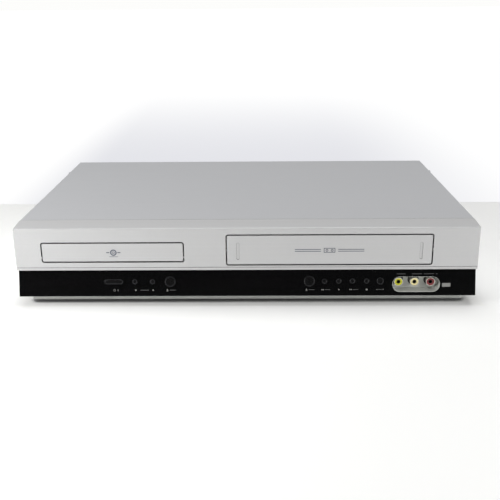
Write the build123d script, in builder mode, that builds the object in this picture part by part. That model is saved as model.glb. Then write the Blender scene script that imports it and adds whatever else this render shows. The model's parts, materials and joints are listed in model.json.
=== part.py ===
"""Slim disc and cassette combination player, about 430 mm wide, in millimetres.

The frame: X to the right as the user sees the front, Y to the back, Z up, zero on the surface
that the feet stand on, X and Y at the middle of the whole outline.
Depths are measured back from the foot of the silver front face, see depth_to_y.
"""
import os
from math import atan2, cos, pi, radians, sin, sqrt, tan

from build123d import *

os.makedirs("parts", exist_ok=True)

# ---------------------------------------------------------------- driving dimensions
# outside
WIDTH = 430.0
HEIGHT = 78.5
COVER_DEPTH = 265.0
REAR_REACH = 273.0          # tips of the sockets at the back
CHIN_REACH = 1.1723         # the rounded chin stands this far in front of the face's foot
SHEET = 0.8                 # steel cover
PAN_SHEET = 1.0             # steel base and back
WALL = 2.4                  # moulded front
GAP = 0.3                   # between parts that only lie beside each other
TOUCH = 0.05                # between a part and the part that it slides or turns in

# front: the silver face leans back, the black band below it leans forward
SEAM_DEPTH = 23.6
FACE_FOOT = 36.4
FACE_TOP = 76.9
FACE_TOP_DEPTH = 2.04
LIP_DEPTH = 9.0
BAND_TOP_DEPTH = 6.0
BAND_FOOT = 10.4
BAND_FOOT_DEPTH = -1.3
CHIN_ROUND = 0.4

# lower strip of the silver face, set off by a fine groove
STRIP_TOP = 39.0
STRIP_FOOT_DEPTH = 0.45
GROOVE = (0.4, 0.25)        # width and depth

# openings in the silver face
TRAY_DOOR = (-189.5, -58.5, 45.2, 62.6)
CASSETTE_DOOR = (-17.6, 171.7, 41.9, 69.7)
DOOR_GAP = 1.15
CORNER_ROUND = 2.4
GRIP_SLOTS_X = (-7.5, 161.8)
GRIP_SLOT = (46.5, 62.9, 2.6, 0.3)      # foot, top, width, depth

# base tub, feet
TUB_HALF = 207.3
TUB_FRONT = 10.3
TUB_REAR = 262.0
TUB_FLOOR = 2.0
BOSS_TOP = 8.0
BOARD = 1.6
FEET = [(-175.0, 36.0), (175.0, 36.0), (-175.0, 236.0), (175.0, 236.0)]

# buttons on the band: name, X of the middle, radius (the first is a pill with its own length)
BUTTON_HEIGHT = 23.85
POWER_LENGTH = 17.5
BUTTONS = [
    ("power_button", -125.3, 2.3),
    ("program_down_button", -105.4, 2.3),
    ("program_up_button", -88.6, 2.3),
    ("disc_eject_button", -71.9, 5.0),
    ("cassette_eject_button", 59.3, 5.0),
    ("rewind_button", 73.5, 2.4),
    ("play_button", 87.0, 2.4),
    ("fast_forward_button", 99.8, 2.4),
    ("record_button", 113.0, 2.4),
    ("source_button", 125.8, 3.3),
]
BUTTON_PROUD = 0.8
BUTTON_RIM = 0.7            # width of the raised rim round each button's dish
BUTTON_DISH = 0.35
BUTTON_CLEARANCE = 0.25
BUTTON_TRAVEL = 0.8
BAND_BOARD = 12.0           # front board, measured in from the band's surface

# socket pocket in the band
POCKET_X = 159.6
POCKET_Z = 20.65
POCKET_LENGTH = 45.0
POCKET_HEIGHT = 14.3
POCKET_FLOOR = 10.0         # depth of its back wall
FRONT_JACKS = [143.4, 158.4, 173.4]
JACK_Z = 22.2
JACK_RADIUS = 4.15
JACK_BORE = 3.7
JACK_PIN_HOLE = 1.65
JACK_TIP = 4.2              # depth of the front sockets' tips

# back
REAR_JACKS_X = [0.0, 16.0, 32.0]
REAR_JACKS_Z = [30.0, 50.0]
AERIAL_X = 195.0
AERIAL_Z = [28.0, 50.0]
AERIAL_RADIUS = 4.75
INLET_X = -178.0
REAR_PANEL_DEPTH = 263.2

# disc drive
DISC_X = -124.0
DISC_DEPTH = 75.0
DISC_RADIUS = 60.0
SMALL_DISC_RADIUS = 40.0
TRAY_HALF = 64.0
TRAY_BOTTOM = 49.2
TRAY_TOP = 57.0
TRAY_REAR = 178.0
TRAY_TRAVEL = 135.0
TRAY_SLOT_HALF = 18.0
DRIVE_HALF = 74.0
DRIVE_FLOOR = 30.0
MODULE = 1.0
GEAR_TEETH = 24
PINION_TEETH = 12
GEAR_DEPTH = 32.0
PRESSURE_ANGLE = radians(20)
BACKLASH = 0.36
PULLEY_RADIUS = 14.0
MOTOR_PULLEY_RADIUS = 3.5
MOTOR_PULLEY_X = -140.0
SEAT_TOP = 52.6             # the disc's underside when it is clamped
TRAVERSE_TOP = 37.5
PICKUP_START = 23.0         # lens to spindle, innermost track

# cassette deck
DECK_X = (CASSETTE_DOOR[0] + CASSETTE_DOOR[1]) / 2
DECK_HALF = 100.0
DECK_FLOOR = 18.0
DECK_SHEET = 1.6
HOLDER_HALF = 94.3          # inside of the holder, for a cassette 187 mm wide
HOLDER_FRONT = 35.0
HOLDER_REAR = 135.0
HOLDER_BOTTOM = 40.4
HOLDER_TOP = 68.2
REEL_SPREAD = 46.0
REEL_DEPTH = 122.0
DRUM_RADIUS = 31.0
DRUM_DEPTH = 214.0
DRUM_TILT = radians(5)
CAPSTAN = (DECK_X + 52.0, 190.0)
PINCH_PIVOT = (DECK_X + 70.0, 204.0)
PINCH_ARM = 28.3
PINCH_REST_ANGLE = radians(255.4)

# ---------------------------------------------------------------- derived values
FACE_Y = -(REAR_REACH - CHIN_REACH) / 2
HALF = WIDTH / 2
FACE_LEAN = atan2(FACE_TOP_DEPTH, FACE_TOP - FACE_FOOT)
BAND_LEAN = atan2(BAND_TOP_DEPTH - BAND_FOOT_DEPTH, FACE_FOOT - BAND_FOOT)
BUTTON_UP = (BUTTON_HEIGHT - BAND_FOOT) / cos(BAND_LEAN)
GEAR_RADIUS = MODULE * GEAR_TEETH / 2
PINION_RADIUS = MODULE * PINION_TEETH / 2
RACK_X = DISC_X + 52.0
GEAR_X = RACK_X - GEAR_RADIUS
PINION_X = GEAR_X - GEAR_RADIUS - PINION_RADIUS
LOWEST = (Align.CENTER, Align.CENTER, Align.MIN)
CORNER = (Align.MIN, Align.MIN, Align.MIN)


def depth_to_y(depth):
    """Y of a point that lies this far behind the foot of the silver face."""
    return FACE_Y + depth


face_plane = Plane(
    origin=(0, FACE_Y, FACE_FOOT), x_dir=(1, 0, 0), z_dir=(0, -cos(FACE_LEAN), sin(FACE_LEAN))
)
band_plane = Plane(
    origin=(0, depth_to_y(BAND_FOOT_DEPTH), BAND_FOOT),
    x_dir=(1, 0, 0),
    z_dir=(0, -cos(BAND_LEAN), sin(BAND_LEAN)),
)
socket_plane = Plane(origin=(0, FACE_Y, 0), x_dir=(1, 0, 0), z_dir=(0, -1, 0))
drum_plane = Plane(
    origin=(DECK_X, depth_to_y(DRUM_DEPTH), DECK_FLOOR + DECK_SHEET),
    x_dir=(cos(DRUM_TILT), 0, -sin(DRUM_TILT)),
    z_dir=(sin(DRUM_TILT), 0, cos(DRUM_TILT)),
)


def block(x_span, depth_span, z_span, mode=Mode.ADD):
    """A box between three pairs of limits, in the part that is being built."""
    with Locations((x_span[0], depth_to_y(depth_span[0]), z_span[0])):
        Box(
            x_span[1] - x_span[0],
            depth_span[1] - depth_span[0],
            z_span[1] - z_span[0],
            align=CORNER,
            mode=mode,
        )


def post(x, depth, z_span, radius, mode=Mode.ADD):
    """An upright cylinder, in the part that is being built."""
    with Locations((x, depth_to_y(depth), z_span[0])):
        Cylinder(radius, z_span[1] - z_span[0], align=LOWEST, mode=mode)


def rod_back(x, z, depth_span, radius, mode=Mode.ADD):
    """A cylinder that runs from front to back."""
    start = Plane(origin=(x, depth_to_y(depth_span[0]), z), x_dir=(1, 0, 0), z_dir=(0, 1, 0))
    with Locations(start):
        Cylinder(radius, depth_span[1] - depth_span[0], align=LOWEST, mode=mode)


def rod_across(depth, z, x_span, radius, mode=Mode.ADD):
    """A cylinder that runs from left to right."""
    start = Plane(origin=(x_span[0], depth_to_y(depth), z), x_dir=(0, 1, 0), z_dir=(1, 0, 0))
    with Locations(start):
        Cylinder(radius, x_span[1] - x_span[0], align=LOWEST, mode=mode)


def on_plane(plane, x, up, out_span, radius, mode=Mode.ADD):
    """A cylinder square to a leaning plane, between two distances out of it."""
    with Locations(plane * Location((x, up, out_span[0]))):
        Cylinder(radius, out_span[1] - out_span[0], align=LOWEST, mode=mode)


def on_plane_block(plane, x_span, up_span, out_span, mode=Mode.ADD):
    """A box square to a leaning plane."""
    with Locations(plane * Location((x_span[0], up_span[0], out_span[0]))):
        Box(
            x_span[1] - x_span[0],
            up_span[1] - up_span[0],
            out_span[1] - out_span[0],
            align=CORNER,
            mode=mode,
        )


def save(builder, name):
    """Label the finished piece and write it under its own name."""
    builder.part.label = name
    export_step(builder.part, f"parts/{name}.step")
    print(name, round(builder.part.volume))


def face_window(door, margin):
    """Middle and size on the silver face of a door's outline grown by a margin."""
    left, right, low, high = door
    up = ((low + high) / 2 - FACE_FOOT) / cos(FACE_LEAN)
    return ((left + right) / 2, up), (right - left + 2 * margin, high - low + 2 * margin)


# ---------------------------------------------------------------- silver front
fascia_outline = [
    (FACE_Y, FACE_FOOT),
    (depth_to_y(FACE_TOP_DEPTH), FACE_TOP),
    (depth_to_y(SEAM_DEPTH), HEIGHT),
    (depth_to_y(SEAM_DEPTH), FACE_FOOT),
]
with BuildPart() as front_fascia:
    with BuildSketch(Plane.YZ.offset(-HALF)):
        with BuildLine():
            Polyline(*fascia_outline, close=True)
        make_face()
    extrude(amount=WIDTH)
    top_edge = front_fascia.edges().filter_by(Axis.X).sort_by(Axis.Z)[-2]
    fillet(top_edge, radius=1.8)
    end_edges = front_fascia.faces().sort_by(Axis.Y)[0].edges().filter_by(Axis.X, reverse=True)
    fillet(end_edges, radius=0.8)
    with BuildSketch(Plane.YZ.offset(-HALF + WALL)):
        with BuildLine():
            Polyline(
                (depth_to_y(WALL), FACE_FOOT + WALL),
                (depth_to_y(FACE_TOP_DEPTH + WALL), FACE_TOP - WALL),
                (depth_to_y(SEAM_DEPTH + 1), HEIGHT - WALL),
                (depth_to_y(SEAM_DEPTH + 1), FACE_FOOT + WALL),
                close=True,
            )
        make_face()
    extrude(amount=WIDTH - 2 * WALL, mode=Mode.SUBTRACT)
    # lower strip leans back to the band, with a fine groove along its top
    strip_up = (STRIP_TOP - FACE_FOOT) / cos(FACE_LEAN)
    with BuildSketch(Plane.YZ.offset(-HALF - 1)):
        with BuildLine():
            Polyline(
                (FACE_Y + (STRIP_TOP - FACE_FOOT) * tan(FACE_LEAN), STRIP_TOP),
                (depth_to_y(STRIP_FOOT_DEPTH), FACE_FOOT),
                (depth_to_y(-1), FACE_FOOT),
                (depth_to_y(-1), STRIP_TOP),
                close=True,
            )
        make_face()
    extrude(amount=WIDTH + 2, mode=Mode.SUBTRACT)
    groove_up = (strip_up, strip_up + GROOVE[0])
    on_plane_block(face_plane, (-HALF - 1, HALF + 1), groove_up, (-GROOVE[1], 1), mode=Mode.SUBTRACT)
    block(
        (-HALF + WALL, HALF - WALL),
        (LIP_DEPTH, SEAM_DEPTH + 1),
        (FACE_FOOT - 1, FACE_FOOT + WALL + 1),
        mode=Mode.SUBTRACT,
    )
    # collar behind the tray's opening, and both openings
    tray_middle, tray_size = face_window(TRAY_DOOR, DOOR_GAP)
    with BuildSketch(face_plane.offset(-WALL)):
        with Locations(tray_middle):
            RectangleRounded(tray_size[0] + 3.0, tray_size[1] + 3.0, CORNER_ROUND + 1.5)
    extrude(amount=-5.0)
    for door in (TRAY_DOOR, CASSETTE_DOOR):
        middle, size = face_window(door, DOOR_GAP)
        with BuildSketch(face_plane.offset(2)):
            with Locations(middle):
                RectangleRounded(size[0], size[1], CORNER_ROUND)
        extrude(amount=-12.0, mode=Mode.SUBTRACT)
    # small nubs that centre the doors in their openings
    for door, nub_z in ((TRAY_DOOR, 49.0), (CASSETTE_DOOR, 56.0)):
        nub_up = (nub_z - FACE_FOOT - 1, nub_z - FACE_FOOT + 1)
        left_edge = door[0] - DOOR_GAP
        right_edge = door[1] + DOOR_GAP
        on_plane_block(face_plane, (left_edge - 1, left_edge + 0.7), nub_up, (-2.2, -0.2))
        on_plane_block(face_plane, (right_edge - 0.7, right_edge + 1), nub_up, (-2.2, -0.2))
    # blind holes for the cassette door's hinge pins
    hinge_up = (68.3 - FACE_FOOT) / cos(FACE_LEAN)
    hinge_point = face_plane.from_local_coords((0, hinge_up, -1.6))
    hinge_depth = hinge_point.Y - FACE_Y
    for side in (CASSETTE_DOOR[0] - DOOR_GAP - 3.0, CASSETTE_DOOR[1] + DOOR_GAP - 0.5):
        rod_across(hinge_depth, hinge_point.Z, (side, side + 3.5), 0.8 + TOUCH, mode=Mode.SUBTRACT)
save(front_fascia, "front_fascia")

# ---------------------------------------------------------------- black control band
band_top = FACE_FOOT - 0.1
band_top_depth = BAND_FOOT_DEPTH + (band_top - BAND_FOOT) * tan(BAND_LEAN)
with BuildPart() as control_band:
    with BuildSketch(Plane.YZ.offset(-HALF)):
        with BuildLine():
            Polyline(
                (depth_to_y(BAND_FOOT_DEPTH), BAND_FOOT),
                (depth_to_y(band_top_depth), band_top),
                (depth_to_y(SEAM_DEPTH), band_top),
                (depth_to_y(SEAM_DEPTH), BAND_FOOT),
                close=True,
            )
        make_face()
    extrude(amount=WIDTH)
    chin = control_band.edges().filter_by(Axis.X).sort_by(Axis.Y)[0]
    fillet(chin, radius=CHIN_ROUND)
    with BuildSketch(Plane.YZ.offset(-HALF + WALL)):
        with BuildLine():
            Polyline(
                (depth_to_y(BAND_FOOT_DEPTH + 3.2), BAND_FOOT + 2.0),
                (depth_to_y(band_top_depth + 2.3), band_top + 1),
                (depth_to_y(SEAM_DEPTH + 1), band_top + 1),
                (depth_to_y(SEAM_DEPTH + 1), BAND_FOOT + 2.0),
                close=True,
            )
        make_face()
    extrude(amount=WIDTH - 2 * WALL, mode=Mode.SUBTRACT)
    block(
        (-HALF + WALL, HALF - WALL),
        (TUB_FRONT - GAP, SEAM_DEPTH + 1),
        (BAND_FOOT - 1, BAND_FOOT + 3),
        mode=Mode.SUBTRACT,
    )
    # button holes
    for name, middle_x, radius in BUTTONS:
        hole = radius + BUTTON_CLEARANCE
        with BuildSketch(band_plane.offset(3)):
            with Locations((middle_x, BUTTON_UP)):
                if name == "power_button":
                    SlotOverall(POWER_LENGTH + 2 * BUTTON_CLEARANCE, 2 * hole)
                else:
                    Circle(hole)
        extrude(amount=-7, mode=Mode.SUBTRACT)
    # window for the socket pocket
    with BuildSketch(socket_plane.offset(4)):
        with Locations((POCKET_X, POCKET_Z)):
            SlotOverall(POCKET_LENGTH, POCKET_HEIGHT)
    extrude(amount=-12, mode=Mode.SUBTRACT)
save(control_band, "control_band")

# ---------------------------------------------------------------- socket pocket and front sockets
POCKET_BACK = POCKET_FLOOR + 1.5
with BuildPart() as jack_pocket:
    with BuildSketch(socket_plane.offset(3)):
        with Locations((POCKET_X, POCKET_Z)):
            SlotOverall(POCKET_LENGTH - 0.2, POCKET_HEIGHT - 0.2)
    extrude(amount=-(POCKET_BACK + 3))
    with BuildSketch(band_plane.offset(-WALL - 0.3)):
        with Locations((POCKET_X, (POCKET_Z - BAND_FOOT) / cos(BAND_LEAN))):
            SlotOverall(POCKET_LENGTH + 4, POCKET_HEIGHT + 0.3)
    extrude(amount=-1.2)
    with BuildSketch(socket_plane.offset(4)):
        with Locations((POCKET_X, POCKET_Z)):
            SlotOverall(POCKET_LENGTH - 1.1, POCKET_HEIGHT - 1.1)
    extrude(amount=-(POCKET_FLOOR + 4), mode=Mode.SUBTRACT)
    # the rim follows the slope of the band, just inside its surface
    on_plane_block(band_plane, (120, 200), (-10, 40), (-0.5, 12), mode=Mode.SUBTRACT)
    for middle_x in FRONT_JACKS:
        rod_back(middle_x, JACK_Z, (POCKET_FLOOR - 1, POCKET_BACK + 1), 5.4, mode=Mode.SUBTRACT)
save(jack_pocket, "jack_pocket")

REAR_BLOCK_FRONT = 251.0
with BuildPart() as jack_blocks:
    block((136.0, 179.5), (POCKET_BACK, 18.0), (14.0, 28.0))
    on_plane_block(band_plane, (130, 190), (-10, 40), (-20, -BAND_BOARD), mode=Mode.SUBTRACT)
    block((-9.0, 41.0), (REAR_BLOCK_FRONT, 257.5), (BOSS_TOP + BOARD, BAND_FOOT))
    block((-9.0, 41.0), (REAR_BLOCK_FRONT, REAR_PANEL_DEPTH), (BAND_FOOT, 60.0))
save(jack_blocks, "jack_blocks")

with BuildPart() as jack_shells:
    for middle_x in FRONT_JACKS:
        rod_back(middle_x, JACK_Z, (JACK_TIP, POCKET_BACK), JACK_RADIUS)
        rod_back(middle_x, JACK_Z, (JACK_TIP - 1, POCKET_BACK + 1), JACK_BORE, mode=Mode.SUBTRACT)
    for middle_x in REAR_JACKS_X:
        for middle_z in REAR_JACKS_Z:
            shell_span = (REAR_PANEL_DEPTH, REAR_REACH)
            rod_back(middle_x, middle_z, shell_span, JACK_RADIUS)
            rod_back(middle_x, middle_z, shell_span, JACK_BORE, mode=Mode.SUBTRACT)
save(jack_shells, "jack_shells")

for index, colour in enumerate(("yellow", "white", "red")):
    with BuildPart() as jack_insert:
        front_x = FRONT_JACKS[index]
        rear_x = REAR_JACKS_X[index]
        insert_radius = JACK_BORE - 0.02
        rod_back(front_x, JACK_Z, (JACK_TIP + 0.4, POCKET_BACK), insert_radius)
        rod_back(front_x, JACK_Z, (JACK_TIP, POCKET_BACK - 1), JACK_PIN_HOLE, mode=Mode.SUBTRACT)
        for middle_z in REAR_JACKS_Z:
            rod_back(rear_x, middle_z, (REAR_PANEL_DEPTH, REAR_REACH - 0.4), insert_radius)
            pin_span = (REAR_REACH - 8.5, REAR_REACH)
            rod_back(rear_x, middle_z, pin_span, JACK_PIN_HOLE, mode=Mode.SUBTRACT)
    save(jack_insert, f"{colour}_jack_inserts")

# ---------------------------------------------------------------- buttons and the front board
stem_end = -(BAND_BOARD - 5.0)
for name, middle_x, radius in BUTTONS:
    with BuildPart() as button:
        with BuildSketch(band_plane.offset(-WALL - 1.4)):
            with Locations((middle_x, BUTTON_UP)):
                if name == "power_button":
                    SlotOverall(POWER_LENGTH, 2 * radius)
                else:
                    Circle(radius)
        extrude(amount=WALL + 1.4 + BUTTON_PROUD)
        front_rim = button.faces().sort_by(Axis.Y)[0].edges()
        fillet(front_rim, radius=0.3)
        with BuildSketch(band_plane.offset(BUTTON_PROUD)):
            with Locations((middle_x, BUTTON_UP)):
                if name == "power_button":
                    SlotOverall(POWER_LENGTH - 2 * BUTTON_RIM, 2 * (radius - BUTTON_RIM))
                else:
                    Circle(radius - BUTTON_RIM)
        extrude(amount=-BUTTON_DISH, taper=30, mode=Mode.SUBTRACT)
        with BuildSketch(band_plane.offset(-WALL - 1.4)):
            with Locations((middle_x, BUTTON_UP)):
                if name == "power_button":
                    SlotOverall(POWER_LENGTH + 2, 2 * radius + 2)
                else:
                    Circle(radius + 1)
        extrude(amount=1.1)
        on_plane(band_plane, middle_x, BUTTON_UP, (stem_end, -WALL - 1.4), 1.3)
    save(button, name)

switch_body = 3.5
plunger_span = (-BAND_BOARD + switch_body, stem_end - BUTTON_TRAVEL - 0.1)
with BuildPart() as tact_switches:
    for name, middle_x, radius in BUTTONS:
        on_plane_block(
            band_plane,
            (middle_x - 3, middle_x + 3),
            (BUTTON_UP - 3, BUTTON_UP + 3),
            (-BAND_BOARD, -BAND_BOARD + switch_body),
        )
        on_plane(band_plane, middle_x, BUTTON_UP, plunger_span, 1.6)
save(tact_switches, "tact_switches")

board_back = -BAND_BOARD - BOARD
with BuildPart() as front_board:
    on_plane_block(band_plane, (-142.0, 190.0), (5.0, 22.0), (board_back, -BAND_BOARD))
    # eye of the remote control, plugs of the ribbon leads
    on_plane_block(band_plane, (-60.0, -55.0), (9.0, 16.0), (-BAND_BOARD, -BAND_BOARD + 4))
    on_plane(band_plane, -57.5, 12.5, (-BAND_BOARD + 4, -BAND_BOARD + 5.5), 2.2)
    for plug_x in (-130.0, 10.0, 120.0):
        on_plane_block(band_plane, (plug_x, plug_x + 16.0), (15.0, 20.0), (board_back - 4, board_back))
save(front_board, "front_board")

with BuildPart() as display_module:
    on_plane_block(band_plane, (-50.0, 44.0), (6.0, 20.5), (-BAND_BOARD, -BAND_BOARD + 3))
    on_plane_block(band_plane, (-48.0, 42.0), (6.5, 19.5), (-BAND_BOARD + 3, -4.0))
save(display_module, "display_module")

# ---------------------------------------------------------------- base, back, cover, feet
BOSSES = [
    (-201.0, 204.0), (-201.0, 253.0), (-64.0, 204.0), (-64.0, 253.0),
    (-14.0, 116.0), (-14.0, 254.0), (168.0, 116.0), (168.0, 254.0),
    (-192.0, 30.0), (-192.0, 180.0), (-56.0, 30.0), (-56.0, 180.0),
    (-16.0, 44.0), (170.0, 44.0), (-29.0, 236.0), (183.0, 190.0),
]
pan_half = HALF - 1.2
SIDE_SCREWS = (218.5, 73.5)     # depth and height of the cover's side screws
REAR_SCREWS_X = (-150.0, 0.0, 150.0)
SCREW_HOLE = 1.6
with BuildPart() as base_pan:
    block((-TUB_HALF, TUB_HALF), (TUB_FRONT, TUB_REAR), (TUB_FLOOR, BAND_FOOT))
    fillet(base_pan.edges().filter_by(Axis.Z), radius=4)
    fillet(base_pan.faces().sort_by(Axis.Z)[0].edges(), radius=0.9)
    with BuildSketch(Plane.XY.offset(TUB_FLOOR + PAN_SHEET)):
        with Locations((0, depth_to_y((TUB_FRONT + TUB_REAR) / 2))):
            RectangleRounded(
                2 * (TUB_HALF - PAN_SHEET), TUB_REAR - TUB_FRONT - 2 * PAN_SHEET, 3.0
            )
    extrude(amount=BAND_FOOT, mode=Mode.SUBTRACT)
    # rim that carries the cover and the back, with its upright flanges
    with BuildSketch(Plane.XY.offset(BAND_FOOT - PAN_SHEET)):
        with Locations((0, depth_to_y((SEAM_DEPTH + GAP + REAR_PANEL_DEPTH + PAN_SHEET) / 2))):
            Rectangle(2 * pan_half, REAR_PANEL_DEPTH + PAN_SHEET - SEAM_DEPTH - GAP)
        with Locations((0, depth_to_y((TUB_FRONT + TUB_REAR) / 2))):
            RectangleRounded(
                2 * (TUB_HALF - PAN_SHEET),
                TUB_REAR - TUB_FRONT - 2 * PAN_SHEET,
                3.0,
                mode=Mode.SUBTRACT,
            )
    extrude(amount=PAN_SHEET)
    for side in (-pan_half, pan_half - PAN_SHEET):
        block((side, side + PAN_SHEET), (SEAM_DEPTH + GAP, 260.0), (BAND_FOOT, 76.0))
    # bosses for boards and drives, with their screw holes
    for x, depth in BOSSES:
        post(x, depth, (TUB_FLOOR, BOSS_TOP), 4.0)
        post(x, depth, (TUB_FLOOR + 1.5, BOSS_TOP + 1), 1.3, mode=Mode.SUBTRACT)
    for x, depth in FEET:
        post(x, depth, (TUB_FLOOR - 1, TUB_FLOOR + 2), 2.5, mode=Mode.SUBTRACT)
    # side screws of the cover
    rod_across(*SIDE_SCREWS, (-HALF - 1, HALF + 1), SCREW_HOLE, mode=Mode.SUBTRACT)
    # air slots
    with BuildSketch(Plane.XY.offset(TUB_FLOOR - 1)):
        for row_depth in (70.0, 150.0):
            with Locations((-124.0, depth_to_y(row_depth)), (80.0, depth_to_y(row_depth - 8))):
                with GridLocations(9.0, 0, 9, 1):
                    SlotOverall(26.0, 3.0, rotation=90)
    extrude(amount=3, mode=Mode.SUBTRACT)
save(base_pan, "base_pan")

with BuildPart() as feet:
    for x, depth in FEET:
        post(x, depth, (0, TUB_FLOOR), 10.0)
        post(x, depth, (TUB_FLOOR, TUB_FLOOR + 2.4), 2.45)
    fillet(feet.faces().group_by(Axis.Z)[0].edges(), radius=0.6)
save(feet, "feet")

panel_top = HEIGHT - SHEET - GAP
with BuildPart() as rear_panel:
    block(
        (-pan_half + 0.5, pan_half - 0.5),
        (REAR_PANEL_DEPTH, REAR_PANEL_DEPTH + PAN_SHEET),
        (BAND_FOOT, panel_top),
    )
    block((-pan_half + 4, pan_half - 4), (258.0, REAR_PANEL_DEPTH), (panel_top - 1, panel_top))
    for middle_x in REAR_JACKS_X:
        for middle_z in REAR_JACKS_Z:
            rod_back(middle_x, middle_z, (260, 266), 5.4, mode=Mode.SUBTRACT)
    for middle_z in AERIAL_Z:
        rod_back(AERIAL_X, middle_z, (260, 266), AERIAL_RADIUS + 0.65, mode=Mode.SUBTRACT)
    block((INLET_X - 12.2, INLET_X + 12.2), (260, 266), (13.8, 31.2), mode=Mode.SUBTRACT)
    for rear_screw_x in REAR_SCREWS_X:
        rod_back(rear_screw_x, SIDE_SCREWS[1], (260, 266), SCREW_HOLE, mode=Mode.SUBTRACT)
    with BuildSketch(Plane.XZ.offset(-depth_to_y(266))):
        with Locations((-118.0, 44.0)):
            with GridLocations(6.0, 0, 12, 1):
                SlotOverall(24.0, 2.6, rotation=90)
    extrude(amount=6, mode=Mode.SUBTRACT)
save(rear_panel, "rear_panel")

cover_foot = 9.4
with BuildPart() as top_cover:
    block((-HALF, HALF), (SEAM_DEPTH + GAP, COVER_DEPTH), (cover_foot, HEIGHT))
    bends = top_cover.faces().sort_by(Axis.Z)[-1].edges()
    long_bends = bends.filter_by(Axis.Y)
    rear_bend = bends.filter_by(Axis.X).sort_by(Axis.Y)[-1]
    fillet([*long_bends, rear_bend], radius=1.4)
    block(
        (-HALF + SHEET, HALF - SHEET),
        (SEAM_DEPTH - 1, COVER_DEPTH - SHEET),
        (cover_foot - 1, HEIGHT - SHEET),
        mode=Mode.SUBTRACT,
    )
    # the rear flange is short
    block((-HALF - 1, HALF + 1), (COVER_DEPTH - SHEET, COVER_DEPTH + 1), (0, 68.5), mode=Mode.SUBTRACT)
    rod_across(*SIDE_SCREWS, (-HALF - 1, HALF + 1), SCREW_HOLE, mode=Mode.SUBTRACT)
    for rear_screw_x in REAR_SCREWS_X:
        rod_back(rear_screw_x, SIDE_SCREWS[1], (262, 267), SCREW_HOLE, mode=Mode.SUBTRACT)
    # air slots low on both sides
    with BuildSketch(Plane.YZ.offset(-HALF - 1)):
        with Locations((depth_to_y(160.0), 40.0)):
            with GridLocations(7.0, 0, 14, 1):
                SlotOverall(22.0, 2.6, rotation=90)
    extrude(amount=2 * HALF + 2, mode=Mode.SUBTRACT)
save(top_cover, "top_cover")


def screw(plane, shank_radius, head_radius, head_height, shank):
    """A pan-head screw with a cross recess; its head stands on the plane."""
    with BuildPart(mode=Mode.PRIVATE) as one:
        with BuildSketch(plane):
            Circle(head_radius)
        extrude(amount=head_height)
        fillet(one.faces().sort_by(Axis(plane.origin, plane.z_dir))[-1].edges(), radius=0.7)
        with BuildSketch(plane.offset(head_height)):
            Rectangle(head_radius * 1.1, 0.8)
            Rectangle(0.8, head_radius * 1.1)
        extrude(amount=-1.0, mode=Mode.SUBTRACT)
        with BuildSketch(plane):
            Circle(shank_radius)
        extrude(amount=-shank)
    return one.part


case_screw_planes = []
for side in (-1, 1):
    side_spot = (side * HALF, depth_to_y(SIDE_SCREWS[0]), SIDE_SCREWS[1])
    case_screw_planes.append(Plane(origin=side_spot, x_dir=(0, 1, 0), z_dir=(side, 0, 0)))
for rear_screw_x in REAR_SCREWS_X:
    rear_spot = (rear_screw_x, depth_to_y(COVER_DEPTH), SIDE_SCREWS[1])
    case_screw_planes.append(Plane(origin=rear_spot, x_dir=(1, 0, 0), z_dir=(0, 1, 0)))
case_screw_solids = [screw(plane, 1.45, 3.5, 2.4, 5.0) for plane in case_screw_planes]
with BuildPart() as case_screws:
    add(case_screw_solids)
save(case_screws, "case_screws")

chassis_screw_solids = []
for x, depth in BOSSES:
    head_plane = Plane(origin=(x, depth_to_y(depth), BOSS_TOP + BOARD))
    chassis_screw_solids.append(screw(head_plane, 1.25, 2.8, 1.8, 5.5))
with BuildPart() as chassis_screws:
    add(chassis_screw_solids)
save(chassis_screws, "chassis_screws")

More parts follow.
